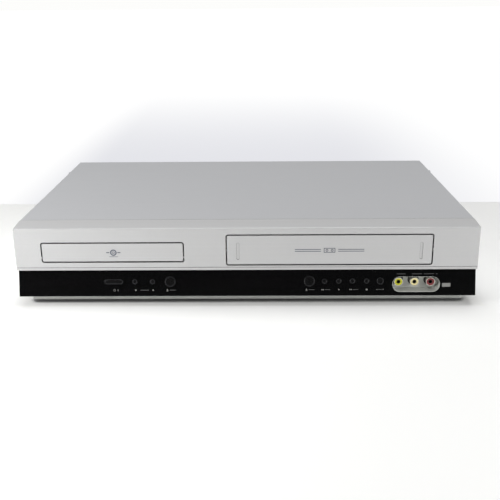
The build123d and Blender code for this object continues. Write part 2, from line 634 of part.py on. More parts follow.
# ---------------------------------------------------------------- disc drive
drive_left = DISC_X - DRIVE_HALF
drive_right = DISC_X + DRIVE_HALF
with BuildPart() as disc_drive_frame:
    block((drive_left, drive_right), (14.0, 190.0), (DRIVE_FLOOR, DRIVE_FLOOR + 2))
    for side in (drive_left, drive_right - 2):
        block((side, side + 2), (14.0, 190.0), (DRIVE_FLOOR, 62.0))
        for leg_depth in (24.0, 174.0):
            block((side, side + 2), (leg_depth, leg_depth + 12), (BOSS_TOP, DRIVE_FLOOR))
    # tabs under the legs
    for leg_depth in (24.0, 174.0):
        for tab in ((drive_left, drive_left + 12), (drive_right - 12, drive_right)):
            block(tab, (leg_depth, leg_depth + 12), (BOSS_TOP, BOSS_TOP + BOARD))
    block((drive_left, drive_right), (188.0, 190.0), (DRIVE_FLOOR, 47.0))
    # ledges and upper guides of the tray
    for low, high in ((drive_left, drive_left + 13), (drive_right - 11, drive_right)):
        block((low, high), (14.0, 186.0), (46.6, 49.0))
    for guide_depth in (22.0, 130.0):
        block((drive_left, drive_left + 13), (guide_depth, guide_depth + 10), (57.2, 59.0))
        block((drive_right - 11, drive_right), (guide_depth, guide_depth + 10), (57.2, 59.0))
    # window for the traverse, holes for the loading motor and for the leg screws
    through_floor = (DRIVE_FLOOR - 1, DRIVE_FLOOR + 3)
    block((DISC_X - 38, DISC_X + 38), (44.0, 178.0), through_floor, mode=Mode.SUBTRACT)
    post(MOTOR_PULLEY_X, GEAR_DEPTH, through_floor, 3.0, mode=Mode.SUBTRACT)
    for x in (-192.0, -56.0):
        for depth in (30.0, 180.0):
            post(x, depth, (BOSS_TOP - 1, BOSS_TOP + BOARD + 1), 1.5, mode=Mode.SUBTRACT)
    # fixed posts that the loading gears turn on
    post(GEAR_X, GEAR_DEPTH, (DRIVE_FLOOR + 1, 48.0), 2.0)
    post(PINION_X, GEAR_DEPTH, (DRIVE_FLOOR + 1, 44.4), 2.0)
    # hinge ears of the traverse
    for ear_x in (DISC_X - 37.6, DISC_X + 34.6):
        block((ear_x, ear_x + 3), (170.0, 180.0), (DRIVE_FLOOR, 41.0))
    rod_across(175.0, 36.75, (DISC_X - 40, DISC_X + 40), 1.5 + TOUCH, mode=Mode.SUBTRACT)
save(disc_drive_frame, "disc_drive_frame")

bridge_bottom = 62.0
dip = (bridge_bottom - 3.6, bridge_bottom + 1.2)
over_dip = (bridge_bottom - 2.4, bridge_bottom + 2)
with BuildPart() as clamp_bridge:
    block((drive_left, drive_right), (56.0, 94.0), (bridge_bottom, bridge_bottom + 1.2))
    block((DISC_X - 34, DISC_X + 34), (54.0, 96.0), (bridge_bottom - 3.6, bridge_bottom - 2.4))
    block((DISC_X - 34, DISC_X - 32.8), (54.0, 96.0), dip)
    block((DISC_X + 32.8, DISC_X + 34), (54.0, 96.0), dip)
    block((DISC_X - 32.8, DISC_X + 32.8), (50, 100), over_dip, mode=Mode.SUBTRACT)
    post(DISC_X, DISC_DEPTH, (bridge_bottom - 5, bridge_bottom), 10.0, mode=Mode.SUBTRACT)
save(clamp_bridge, "clamp_bridge")

with BuildPart() as disc_clamp:
    post(DISC_X, DISC_DEPTH, (55.0, 57.2), 13.0)
    post(DISC_X, DISC_DEPTH, (57.2, 61.0), 9.4)
    post(DISC_X, DISC_DEPTH, (61.0, 62.2), 12.5)
    post(DISC_X, DISC_DEPTH, (61.6, 63.0), 4.0, mode=Mode.SUBTRACT)
    fillet(disc_clamp.faces().sort_by(Axis.Z)[0].edges(), radius=0.6)
save(disc_clamp, "disc_clamp")


def rack_outline():
    """Pitch line, tooth height and flank slope of the tray's rack, as one closed outline."""
    pitch = pi * MODULE
    addendum = 0.85 * MODULE
    dedendum = 1.25 * MODULE
    half_mid = (pitch - BACKLASH) / 4
    half_tip = half_mid - addendum * tan(PRESSURE_ANGLE)
    half_root = half_mid + dedendum * tan(PRESSURE_ANGLE)
    count = int(TRAY_TRAVEL / pitch) + 4
    points = []
    for index in range(count):
        middle = depth_to_y(GEAR_DEPTH) - pitch * 1.5 + pitch * index
        points.append((RACK_X + dedendum, middle - half_root))
        points.append((RACK_X - addendum, middle - half_tip))
        points.append((RACK_X - addendum, middle + half_tip))
        points.append((RACK_X + dedendum, middle + half_root))
    points.append((RACK_X + 4.5, points[-1][1]))
    points.append((RACK_X + 4.5, points[0][1]))
    return points


def gear_outline(teeth, x, y, first_angle):
    """Closed outline of an involute spur gear that has a tooth at the first angle."""
    pitch_radius = MODULE * teeth / 2
    base_radius = pitch_radius * cos(PRESSURE_ANGLE)
    tip_radius = pitch_radius + 0.85 * MODULE
    root_radius = pitch_radius - 1.25 * MODULE
    half_at_pitch = pi / (2 * teeth) - BACKLASH / (4 * pitch_radius)
    rolled_at_pitch = tan(PRESSURE_ANGLE) - PRESSURE_ANGLE

    def half_angle(radius):
        """Half the tooth's width at a radius, as an angle."""
        pressure = atan2(sqrt(max(radius**2 - base_radius**2, 0)), base_radius)
        return half_at_pitch + rolled_at_pitch - (tan(pressure) - pressure)

    points = []
    flank = [root_radius, max(base_radius, root_radius + 0.01), pitch_radius, tip_radius]
    for index in range(teeth):
        middle = first_angle + 2 * pi * index / teeth
        for radius in flank:
            angle = middle - half_angle(radius)
            points.append((x + radius * cos(angle), y + radius * sin(angle)))
        for radius in reversed(flank):
            angle = middle + half_angle(radius)
            points.append((x + radius * cos(angle), y + radius * sin(angle)))
    return points


tray_left = DISC_X - TRAY_HALF
tray_right = DISC_X + TRAY_HALF
with BuildPart() as disc_tray:
    block((tray_left, tray_right), (0.0, TRAY_REAR), (TRAY_BOTTOM, TRAY_TOP))
    tray_corners = disc_tray.edges().filter_by(Axis.Z).sort_by(Axis.Y)[-2:]
    fillet(tray_corners, radius=4)
    # the front end follows the slope of the tray's door
    on_plane_block(face_plane, (tray_left - 1, tray_right + 1), (0, 40), (-3.0, 8.0), mode=Mode.SUBTRACT)
    # recesses for the large and the small disc, slot for spindle and pickup
    post(DISC_X, DISC_DEPTH, (51.6, TRAY_TOP + 1), DISC_RADIUS + 0.8, mode=Mode.SUBTRACT)
    post(DISC_X, DISC_DEPTH, (50.4, TRAY_TOP + 1), SMALL_DISC_RADIUS + 0.8, mode=Mode.SUBTRACT)
    post(DISC_X, DISC_DEPTH, (TRAY_BOTTOM - 1, TRAY_TOP + 1), TRAY_SLOT_HALF, mode=Mode.SUBTRACT)
    block(
        (DISC_X - TRAY_SLOT_HALF, DISC_X + TRAY_SLOT_HALF),
        (DISC_DEPTH, TRAY_REAR + 1),
        (TRAY_BOTTOM - 1, TRAY_TOP + 1),
        mode=Mode.SUBTRACT,
    )
    # finger scoops at both sides of the disc
    for scoop_x in (tray_left + 8, tray_right - 8):
        post(scoop_x, 20.0, (51.6, TRAY_TOP + 1), 7.0, mode=Mode.SUBTRACT)
    # rails that run on the drive's ledges, rack for the drive gear
    with BuildSketch(Plane.XY.offset(TRAY_BOTTOM - 4)):
        with BuildLine():
            Polyline(*rack_outline(), close=True)
        make_face()
    extrude(amount=4)
save(disc_tray, "disc_tray")

with BuildPart() as tray_front:
    door_middle, door_size = face_window(TRAY_DOOR, 0)
    with BuildSketch(face_plane.offset(-3.0)):
        with Locations(door_middle):
            RectangleRounded(door_size[0], door_size[1], CORNER_ROUND - DOOR_GAP)
    extrude(amount=3.0)
    fillet(tray_front.faces().sort_by(Axis.Y)[0].edges(), radius=0.3)
save(tray_front, "tray_front")

with BuildPart() as traverse_plate:
    block((DISC_X - 34, DISC_X + 34), (48.0, 178.0), (36.0, TRAVERSE_TOP))
    # opening that the pickup looks down into, mounts of its rods
    block((DISC_X - 15, DISC_X + 15), (96.0, 150.0), (35, 38), mode=Mode.SUBTRACT)
    for rod_x in (DISC_X - 20, DISC_X + 20):
        for mount_depth in (88.0, 158.0):
            block((rod_x - 3, rod_x + 3), (mount_depth, mount_depth + 4), (TRAVERSE_TOP, 44.0))
            rod_back(rod_x, 41.0, (mount_depth - 1, mount_depth + 5), 1.5, mode=Mode.SUBTRACT)
    rod_across(175.0, 36.75, (DISC_X - 37.4, DISC_X + 37.4), 1.5)
    rod_across(175.0, 36.75, (DISC_X - 34.4, DISC_X + 34.4), 2.6)
save(traverse_plate, "traverse_plate")

with BuildPart() as guide_rods:
    for rod_x in (DISC_X - 20, DISC_X + 20):
        rod_back(rod_x, 41.0, (88.0, 162.0), 1.48)
save(guide_rods, "guide_rods")

with BuildPart() as spindle_motor:
    post(DISC_X, DISC_DEPTH, (TRAVERSE_TOP, TRAVERSE_TOP + 1.6), 14.0)
    post(DISC_X, DISC_DEPTH, (TRAVERSE_TOP, 44.4), 11.0)
    post(DISC_X, DISC_DEPTH, (44.4, 46.0), 3.5)
    post(DISC_X, DISC_DEPTH, (38.5, 47.0), 1.2 + TOUCH, mode=Mode.SUBTRACT)
save(spindle_motor, "spindle_motor")

with BuildPart() as turntable:
    post(DISC_X, DISC_DEPTH, (50.4, SEAT_TOP), 13.5)
    post(DISC_X, DISC_DEPTH, (SEAT_TOP, 54.6), 7.4)
    fillet(turntable.faces().sort_by(Axis.Z)[-1].edges(), radius=1.5)
    post(DISC_X, DISC_DEPTH, (47.6, 50.4), 4.5)
    post(DISC_X, DISC_DEPTH, (39.0, 47.6), 1.2)
save(turntable, "turntable")

lens_depth = DISC_DEPTH + PICKUP_START
with BuildPart() as optical_pickup:
    block((DISC_X - 24, DISC_X + 24), (lens_depth - 5, lens_depth + 17), (38.2, 44.5))
    block((DISC_X - 12, DISC_X + 12), (lens_depth - 5, lens_depth + 17), (44.5, 47.5))
    post(DISC_X, lens_depth, (47.5, 49.4), 4.6)
    post(DISC_X, lens_depth, (49.4, 50.0), 2.6)
    for rod_x in (DISC_X - 20, DISC_X + 20):
        rod_back(rod_x, 41.0, (lens_depth - 6, lens_depth + 18), 1.48 + TOUCH, mode=Mode.SUBTRACT)
    # follower that the lead screw drives
    block((DISC_X + 24, DISC_X + 27), (lens_depth + 4, lens_depth + 12), (43.2, 44.5))
save(optical_pickup, "optical_pickup")

screw_x = DISC_X + 28.0
with BuildPart() as lead_screw:
    rod_back(screw_x, 41.0, (90.0, 152.5), 1.5)
    for ring_depth in range(93, 150, 3):
        rod_back(screw_x, 41.0, (ring_depth, ring_depth + 1.2), 1.9)
save(lead_screw, "lead_screw")

with BuildPart() as sled_motor:
    rod_back(screw_x, 42.3, (153.0, 168.0), 4.8)
    rod_back(screw_x, 41.0, (152.0, 154.0), 1.6, mode=Mode.SUBTRACT)
    block((screw_x - 4, screw_x + 4), (88.0, 89.6), (TRAVERSE_TOP, 44.0))
save(sled_motor, "sled_motor")

gear_y = depth_to_y(GEAR_DEPTH)
with BuildPart() as tray_drive_gear:
    with BuildSketch(Plane.XY.offset(41.4)):
        with BuildLine():
            Polyline(*gear_outline(GEAR_TEETH, GEAR_X, gear_y, 0.0), close=True)
        make_face()
    extrude(amount=7.4)
    post(GEAR_X, GEAR_DEPTH, (40, 50), 2.0 + TOUCH, mode=Mode.SUBTRACT)
save(tray_drive_gear, "tray_drive_gear")

with BuildPart() as loading_pulley:
    with BuildSketch(Plane.XY.offset(40.0)):
        with BuildLine():
            Polyline(*gear_outline(PINION_TEETH, PINION_X, gear_y, pi / PINION_TEETH), close=True)
        make_face()
    extrude(amount=4.2)
    post(PINION_X, GEAR_DEPTH, (36.6, 40.4), PULLEY_RADIUS - TOUCH)
    post(PINION_X, GEAR_DEPTH, (36.6, 37.4), PULLEY_RADIUS + 1)
    post(PINION_X, GEAR_DEPTH, (39.6, 40.4), PULLEY_RADIUS + 1)
    post(PINION_X, GEAR_DEPTH, (36, 46), 2.0 + TOUCH, mode=Mode.SUBTRACT)
save(loading_pulley, "loading_pulley")

with BuildPart() as motor_pulley:
    post(MOTOR_PULLEY_X, GEAR_DEPTH, (36.6, 40.4), MOTOR_PULLEY_RADIUS - TOUCH)
    post(MOTOR_PULLEY_X, GEAR_DEPTH, (36.6, 37.4), MOTOR_PULLEY_RADIUS + 1)
    post(MOTOR_PULLEY_X, GEAR_DEPTH, (39.6, 40.4), MOTOR_PULLEY_RADIUS + 1)
    post(MOTOR_PULLEY_X, GEAR_DEPTH, (31.0, 36.6), 1.0)
save(motor_pulley, "motor_pulley")

with BuildPart() as tray_belt:
    with BuildSketch(Plane.XY.offset(37.9)):
        with Locations((PINION_X, gear_y)):
            Circle(PULLEY_RADIUS + 1.2)
        with Locations((MOTOR_PULLEY_X, gear_y)):
            Circle(MOTOR_PULLEY_RADIUS + 1.2)
        make_hull()
    extrude(amount=1.2)
    with BuildSketch(Plane.XY.offset(37)):
        with Locations((PINION_X, gear_y)):
            Circle(PULLEY_RADIUS)
        with Locations((MOTOR_PULLEY_X, gear_y)):
            Circle(MOTOR_PULLEY_RADIUS)
        make_hull()
    extrude(amount=4, mode=Mode.SUBTRACT)
save(tray_belt, "tray_belt")

with BuildPart() as loading_motor:
    post(MOTOR_PULLEY_X, GEAR_DEPTH + 2.0, (13.0, DRIVE_FLOOR), 9.5)
    post(MOTOR_PULLEY_X, GEAR_DEPTH, (27, DRIVE_FLOOR + 1), 1.4, mode=Mode.SUBTRACT)
save(loading_motor, "loading_motor")

# ---------------------------------------------------------------- cassette door and its spring
with BuildPart() as cassette_door:
    flap_middle, flap_size = face_window(CASSETTE_DOOR, 0)
    with BuildSketch(face_plane.offset(-2.2)):
        with Locations(flap_middle):
            RectangleRounded(flap_size[0], flap_size[1], CORNER_ROUND - DOOR_GAP)
    extrude(amount=2.2)
    fillet(cassette_door.faces().sort_by(Axis.Y)[0].edges(), radius=0.3)
    # shallow upright slots near both ends
    slot_foot, slot_top, slot_width, slot_depth = GRIP_SLOT
    slot_middle = ((slot_foot + slot_top) / 2 - FACE_FOOT) / cos(FACE_LEAN)
    with BuildSketch(face_plane.offset(1)):
        for slot_x in GRIP_SLOTS_X:
            with Locations((slot_x, slot_middle)):
                SlotOverall(slot_top - slot_foot, slot_width, rotation=90)
    extrude(amount=-1 - slot_depth, mode=Mode.SUBTRACT)
    pin_ends = (CASSETTE_DOOR[0] - DOOR_GAP - 2.4, CASSETTE_DOOR[1] + DOOR_GAP + 2.4)
    rod_across(hinge_depth, hinge_point.Z, pin_ends, 0.8)
save(cassette_door, "cassette_door")

spring_x = CASSETTE_DOOR[1] + 5.0
with BuildPart() as door_spring:
    rod_across(8.0, 66.0, (spring_x, spring_x + 4), 2.6)
    rod_across(8.0, 66.0, (spring_x - 1, spring_x + 5), 1.9, mode=Mode.SUBTRACT)
    block((spring_x, spring_x + 0.7), (7.6, 8.3), (56.0, 64.2))
    block((spring_x - 9.0, spring_x + 0.4), (7.6, 8.3), (56.0, 56.7))
    block((spring_x - 9.0, spring_x - 8.3), (4.0, 8.3), (56.0, 56.7))
save(door_spring, "door_spring")

# ---------------------------------------------------------------- cassette deck
deck_left = DECK_X - DECK_HALF
deck_right = DECK_X + DECK_HALF
deck_top = DECK_FLOOR + DECK_SHEET
with BuildPart() as deck_chassis:
    block((deck_left, deck_right), (34.0, 248.0), (DECK_FLOOR, deck_top))
    for side in (deck_left, deck_right - DECK_SHEET):
        block((side, side + DECK_SHEET), (36.0, 182.0), (DECK_FLOOR, 71.0))
        block((side - 0.5, side + DECK_SHEET + 0.5), (66.4, 145.6), (60.4, 63.6), mode=Mode.SUBTRACT)
        for window_depth in (46.0, 150.0):
            block(
                (side - 0.5, side + DECK_SHEET + 0.5),
                (window_depth, window_depth + 24),
                (28.0, 52.0),
                mode=Mode.SUBTRACT,
            )
    # legs with their tabs
    for leg_left, leg_depth, tab in (
        (deck_left, 38.0, (deck_left, deck_left + 12)),
        (deck_right - DECK_SHEET, 38.0, (deck_right - 12, deck_right)),
        (deck_left, 230.0, (deck_left - 12, deck_left + DECK_SHEET)),
        (deck_right - DECK_SHEET, 184.0, (deck_right - DECK_SHEET, deck_right + 12)),
    ):
        block((leg_left, leg_left + DECK_SHEET), (leg_depth, leg_depth + 12), (BOSS_TOP, DECK_FLOOR))
        block(tab, (leg_depth, leg_depth + 12), (BOSS_TOP, BOSS_TOP + BOARD))
    for x, depth in BOSSES[12:]:
        post(x, depth, (BOSS_TOP - 1, BOSS_TOP + BOARD + 1), 1.5, mode=Mode.SUBTRACT)
    # fixed shafts of the reels and of the pinch arm, tape guides, erase head and sound head
    for reel_x in (DECK_X - REEL_SPREAD, DECK_X + REEL_SPREAD):
        post(reel_x, REEL_DEPTH, (DECK_FLOOR, 34.5), 1.5)
    post(*PINCH_PIVOT, (DECK_FLOOR, 30.0), 2.0)
    for guide_x, guide_depth in ((-62.0, 186.0), (-48.0, 196.0), (46.0, 200.0), (34.0, 186.0)):
        post(DECK_X + guide_x, guide_depth, (DECK_FLOOR, 45.0), 2.5)
        post(DECK_X + guide_x, guide_depth, (45.0, 47.0), 3.8)
    block((DECK_X - 58, DECK_X - 50), (202.0, 210.0), (DECK_FLOOR, 42.0))
    block((DECK_X + 37.5, DECK_X + 43.0), (203.0, 213.0), (DECK_FLOOR, 42.0))
    post(*CAPSTAN, (DECK_FLOOR - 1, deck_top + 1), 1.58, mode=Mode.SUBTRACT)
    block((DECK_X - 25, DECK_X + 25), (60.0, 100.0), (DECK_FLOOR - 1, deck_top + 1), mode=Mode.SUBTRACT)
save(deck_chassis, "deck_chassis")

with BuildPart() as carriage_slider:
    for low, high in ((-97.4, -96.2), (96.2, 97.4)):
        block((DECK_X + low, DECK_X + high), (60.0, 112.0), (36.0, 70.6))
        through_side = (DECK_X + low - 1, DECK_X + high + 1)
        block(through_side, (84.4, 87.6), (38.4, 57.6), mode=Mode.SUBTRACT)
        block(through_side, (94.0, 106.0), (40.0, 54.0), mode=Mode.SUBTRACT)
    block((DECK_X - 97.4, DECK_X + 97.4), (60.0, 74.0), (69.4, 70.6))
    for pin_depth in (68.0, 104.0):
        rod_across(pin_depth, 62.0, (DECK_X - 100.2, DECK_X - 97.4), 1.5)
        rod_across(pin_depth, 62.0, (DECK_X + 97.4, DECK_X + 100.2), 1.5)
save(carriage_slider, "carriage_slider")

holder_outer = HOLDER_HALF + 1.0
holder_left = DECK_X - holder_outer
holder_right = DECK_X + holder_outer
with BuildPart() as cassette_holder:
    block((holder_left, holder_right), (HOLDER_FRONT, HOLDER_REAR), (HOLDER_BOTTOM, HOLDER_TOP))
    block(
        (DECK_X - HOLDER_HALF, DECK_X + HOLDER_HALF),
        (HOLDER_FRONT - 1, HOLDER_REAR + 1),
        (HOLDER_BOTTOM + 1, HOLDER_TOP - 1),
        mode=Mode.SUBTRACT,
    )
    # the floor is two ledges, so that the reels can come up into the cassette
    block(
        (DECK_X - HOLDER_HALF + 14, DECK_X + HOLDER_HALF - 14),
        (HOLDER_FRONT - 1, HOLDER_REAR + 1),
        (HOLDER_BOTTOM - 1, HOLDER_BOTTOM + 2),
        mode=Mode.SUBTRACT,
    )
    through_top = (HOLDER_TOP - 2, HOLDER_TOP + 1)
    for window_x in (DECK_X - 52, DECK_X + 52):
        block((window_x - 28, window_x + 28), (60.0, 115.0), through_top, mode=Mode.SUBTRACT)
    rod_across(86.0, 56.0, (DECK_X - 97.3, holder_left), 1.5)
    rod_across(86.0, 56.0, (holder_right, DECK_X + 97.3), 1.5)
save(cassette_holder, "cassette_holder")

with BuildPart() as drum_base:
    post(DECK_X, DRUM_DEPTH, (deck_top, deck_top + 6), 24.0)
    with BuildSketch(drum_plane.offset(4.0)):
        Circle(DRUM_RADIUS)
    extrude(amount=16.0)
    with BuildSketch(drum_plane.offset(20.0)):
        Circle(3.0)
    extrude(amount=12.0)
save(drum_base, "drum_base")

with BuildPart() as head_drum:
    with BuildSketch(drum_plane.offset(20.4)):
        Circle(DRUM_RADIUS)
    extrude(amount=15.0)
    with BuildSketch(drum_plane.offset(35.4)):
        Circle(14.0)
    extrude(amount=3.0)
    with BuildSketch(drum_plane.offset(20.0)):
        Circle(3.0 + TOUCH)
    extrude(amount=13.0, mode=Mode.SUBTRACT)
    with BuildSketch(drum_plane.offset(36.0)):
        with PolarLocations(22.0, 2):
            Circle(3.0)
    extrude(amount=-3.0, mode=Mode.SUBTRACT)
save(head_drum, "head_drum")

with BuildPart() as capstan:
    post(*CAPSTAN, (11.0, 46.0), 1.5)
    post(*CAPSTAN, (11.6, 16.6), 17.0)
save(capstan, "capstan")

roller_spot = (
    PINCH_PIVOT[0] + PINCH_ARM * cos(PINCH_REST_ANGLE),
    PINCH_PIVOT[1] + PINCH_ARM * sin(PINCH_REST_ANGLE),
)
with BuildPart() as pinch_arm:
    with BuildSketch(Plane.XY.offset(23.0)):
        with Locations((PINCH_PIVOT[0], depth_to_y(PINCH_PIVOT[1]))):
            Circle(5.0)
        with Locations((roller_spot[0], depth_to_y(roller_spot[1]))):
            Circle(2.4)
        make_hull()
    extrude(amount=3.0)
    post(*PINCH_PIVOT, (deck_top + 0.4, 28.0), 4.0)
    post(*PINCH_PIVOT, (deck_top - 1, 32.0), 2.0 + TOUCH, mode=Mode.SUBTRACT)
    post(*roller_spot, (25.0, 40.0), 1.2)
save(pinch_arm, "pinch_arm")

with BuildPart() as pinch_roller:
    post(*roller_spot, (26.4, 39.4), 6.0)
    post(*roller_spot, (26, 40), 1.2 + TOUCH, mode=Mode.SUBTRACT)
    fillet(pinch_roller.faces().group_by(Axis.Z)[-1].edges().group_by(SortBy.LENGTH)[-1], radius=0.5)
save(pinch_roller, "pinch_roller")

for reel_name, reel_side in (("supply_reel", -1), ("takeup_reel", 1)):
    with BuildPart() as reel:
        reel_x = DECK_X + reel_side * REEL_SPREAD
        post(reel_x, REEL_DEPTH, (deck_top + 0.4, deck_top + 3.4), 18.0)
        post(reel_x, REEL_DEPTH, (deck_top + 3.4, 31.0), 5.0)
        with BuildSketch(Plane.XY.offset(deck_top + 3.4)):
            with Locations((reel_x, depth_to_y(REEL_DEPTH))):
                with PolarLocations(5.0, 3):
                    Rectangle(4.0, 1.6)
        extrude(amount=7.0)
        post(reel_x, REEL_DEPTH, (deck_top, 34.0), 1.5 + TOUCH, mode=Mode.SUBTRACT)
    save(reel, reel_name)

# ---------------------------------------------------------------- boards at the back
board_top = BOSS_TOP + BOARD
with BuildPart() as power_board:
    block((-205.0, -60.0), (200.0, 257.0), (BOSS_TOP, board_top))
    block((-150.0, -116.0), (212.0, 240.0), (board_top, 34.0))
    block((-146.0, -120.0), (206.0, 246.0), (board_top + 6, 28.0))
    post(-96.0, 222.0, (board_top, 38.0), 9.0)
    post(-74.0, 218.0, (board_top, 28.0), 5.0)
    post(-74.0, 234.0, (board_top, 28.0), 5.0)
    block((-198.0, -184.0), (210.0, 224.0), (board_top, 24.0))
    block((-176.0, -156.0), (206.0, 209.0), (board_top, 36.0))
    block((-172.0, -160.0), (209.0, 212.0), (board_top + 4, 26.0))
    post(-166.0, 226.0, (board_top, 18.0), 7.0)
    for x, depth in BOSSES[:4]:
        post(x, depth, (BOSS_TOP - 1, board_top + 1), 1.5, mode=Mode.SUBTRACT)
save(power_board, "power_board")

with BuildPart() as main_board:
    block((-19.0, 173.0), (111.0, 258.0), (BOSS_TOP, board_top))
    for chip_x, chip_depth, size in ((20.0, 150.0, 24.0), (66.0, 140.0, 16.0), (96.0, 136.0, 20.0)):
        block((chip_x, chip_x + size), (chip_depth, chip_depth + size), (board_top, board_top + 1.8))
    for can_x in (48.0, 60.0, 72.0, 84.0):
        post(can_x, 250.0, (board_top, 17.0), 3.2)
    for plug_x in (0.0, 40.0, 90.0):
        block((plug_x, plug_x + 22), (116.0, 121.0), (board_top, 16.0))
    for x, depth in BOSSES[4:8]:
        post(x, depth, (BOSS_TOP - 1, board_top + 1), 1.5, mode=Mode.SUBTRACT)
save(main_board, "main_board")

with BuildPart() as tuner_module:
    block((186.0, 205.0), (203.0, 259.5), (TUB_FLOOR + PAN_SHEET, 62.0))
    block((186.0, 205.0), (259.0, REAR_PANEL_DEPTH), (12.0, 62.0))
    for middle_z in AERIAL_Z:
        rod_back(AERIAL_X, middle_z, (REAR_PANEL_DEPTH - 2.5, REAR_REACH), AERIAL_RADIUS)
        rod_back(AERIAL_X, middle_z, (REAR_REACH - 6, REAR_REACH + 1), 2.2, mode=Mode.SUBTRACT)
save(tuner_module, "tuner_module")

with BuildPart() as ac_inlet:
    block((INLET_X - 12, INLET_X + 12), (246.0, 265.5), (14.0, 31.0))
    block((INLET_X - 10, INLET_X + 10), (247.0, 256.5), (board_top, 14.0))
    with BuildSketch(Plane.XZ.offset(-depth_to_y(265.5))):
        with Locations((INLET_X, 22.5)):
            SlotOverall(17.6, 9.0)
    extrude(amount=12.0, mode=Mode.SUBTRACT)
    for pin_x in (INLET_X - 4.3, INLET_X + 4.3):
        rod_back(pin_x, 22.5, (252.5, 263.0), 1.2)
save(ac_inlet, "ac_inlet")
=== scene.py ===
"""Looks of the slim disc and cassette player: finishes, printed symbols, light and camera.

Lengths are in metres. X is to the right as the user sees the front, Y to the back, Z up.
"""

import json
from functools import partial
from math import atan2, cos, pi, radians, sin

import bmesh
import bpy
from mathutils import Matrix, Vector


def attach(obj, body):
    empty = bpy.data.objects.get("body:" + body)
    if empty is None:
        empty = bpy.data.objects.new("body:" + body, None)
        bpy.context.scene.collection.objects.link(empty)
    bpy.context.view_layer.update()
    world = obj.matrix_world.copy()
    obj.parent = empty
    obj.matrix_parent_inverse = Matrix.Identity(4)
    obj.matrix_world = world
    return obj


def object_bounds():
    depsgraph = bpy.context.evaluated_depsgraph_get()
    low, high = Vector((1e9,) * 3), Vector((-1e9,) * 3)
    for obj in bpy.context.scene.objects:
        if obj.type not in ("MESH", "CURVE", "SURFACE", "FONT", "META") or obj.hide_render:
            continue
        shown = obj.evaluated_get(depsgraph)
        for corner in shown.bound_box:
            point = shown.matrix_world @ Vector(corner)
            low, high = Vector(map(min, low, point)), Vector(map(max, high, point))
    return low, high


MM = 0.001

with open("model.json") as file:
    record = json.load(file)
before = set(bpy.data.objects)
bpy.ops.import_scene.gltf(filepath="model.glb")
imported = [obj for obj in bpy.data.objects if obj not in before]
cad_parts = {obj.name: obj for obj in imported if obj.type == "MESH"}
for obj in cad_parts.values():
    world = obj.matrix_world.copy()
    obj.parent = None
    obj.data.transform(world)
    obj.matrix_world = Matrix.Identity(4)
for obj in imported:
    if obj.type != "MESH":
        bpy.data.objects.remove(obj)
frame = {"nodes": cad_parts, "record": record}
nodes = frame["nodes"]
cad_low, cad_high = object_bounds()

# ---------------------------------------------------------------- the player's own sizes, in millimetres
CHIN_REACH = 1.1723                         # the band's chin stands this far in front of the face's foot
BAND_FOOT_HEIGHT = 10.4
BAND_FOOT_REACH = 1.3                       # the band's foot lies this far in front of the face's foot
BAND_RISE = 26.0
BAND_SETBACK = 7.3                          # the band's top lies this far behind its foot
FACE_FOOT_HEIGHT = 36.4
FACE_RISE = 40.5
FACE_SETBACK = 2.04
SOCKET_HEIGHT = 22.2
FRONT_SOCKETS_X = (143.4, 158.4, 173.4)     # yellow, white and red
LABEL_UP = 5.9                              # height of the label row on the band, along its slope
CAPTION_UP = 20.6                           # height of the caption row over the sockets
PLATE_X, PLATE_UP = 187.6, 10.1
DISC_SIGN_X, DISC_SIGN_HEIGHT = -123.1, 53.8
TAPE_SIGN_X, TAPE_SIGN_HEIGHT = 77.2, 55.3
PRINT_LIFT = 0.04                           # printed marks stand this far off the surface
PRINT_DEPTH = 0.05

# ---------------------------------------------------------------- places on the front, in metres
FACE_Y = cad_low[1] + CHIN_REACH * MM
BAND_FOOT = Vector((0, FACE_Y - BAND_FOOT_REACH * MM, BAND_FOOT_HEIGHT * MM))
BAND_LEAN = atan2(BAND_SETBACK, BAND_RISE)
FACE_FOOT = Vector((0, FACE_Y, FACE_FOOT_HEIGHT * MM))
FACE_LEAN = atan2(FACE_SETBACK, FACE_RISE)

# ---------------------------------------------------------------- colours that several finishes use
DUST_ON_PAINT = (0.72, 0.71, 0.69, 1.0)
DUST_ON_PARTS = (0.5, 0.49, 0.46, 1.0)
SHEET_COLOUR = (0.93, 0.93, 0.91, 1.0)


def leaning_frame(origin, lean):
    """Matrix of a surface that leans back: its X is right, its Y runs up it, its Z points out."""
    right = Vector((1, 0, 0))
    up = Vector((0, sin(lean), cos(lean)))
    out = Vector((0, -cos(lean), sin(lean)))
    matrix = Matrix((right, up, out)).transposed().to_4x4()
    matrix.translation = origin
    return matrix


band_frame = leaning_frame(BAND_FOOT, BAND_LEAN)
face_frame = leaning_frame(FACE_FOOT, FACE_LEAN)


# ---------------------------------------------------------------- effects that the finishes share
def new_group(name, inputs, outputs):
    """An empty shader group with its sockets, and its two end nodes."""
    group = bpy.data.node_groups.new(name, "ShaderNodeTree")
    for label, kind, value in inputs:
        socket = group.interface.new_socket(name=label, in_out="INPUT", socket_type=kind)
        if value is not None:
            socket.default_value = value
    for label, kind in outputs:
        group.interface.new_socket(name=label, in_out="OUTPUT", socket_type=kind)
    start = group.nodes.new("NodeGroupInput")
    end = group.nodes.new("NodeGroupOutput")
    return group, start, end


def math_node(tree, operation, first, second, clamp=False):
    """One arithmetic step on two sockets or numbers."""
    node = tree.nodes.new("ShaderNodeMath")
    node.operation = operation
    node.use_clamp = clamp
    for index, value in enumerate((first, second)):
        if isinstance(value, (int, float)):
            node.inputs[index].default_value = value
        else:
            tree.links.new(value, node.inputs[index])
    return node.outputs[0]


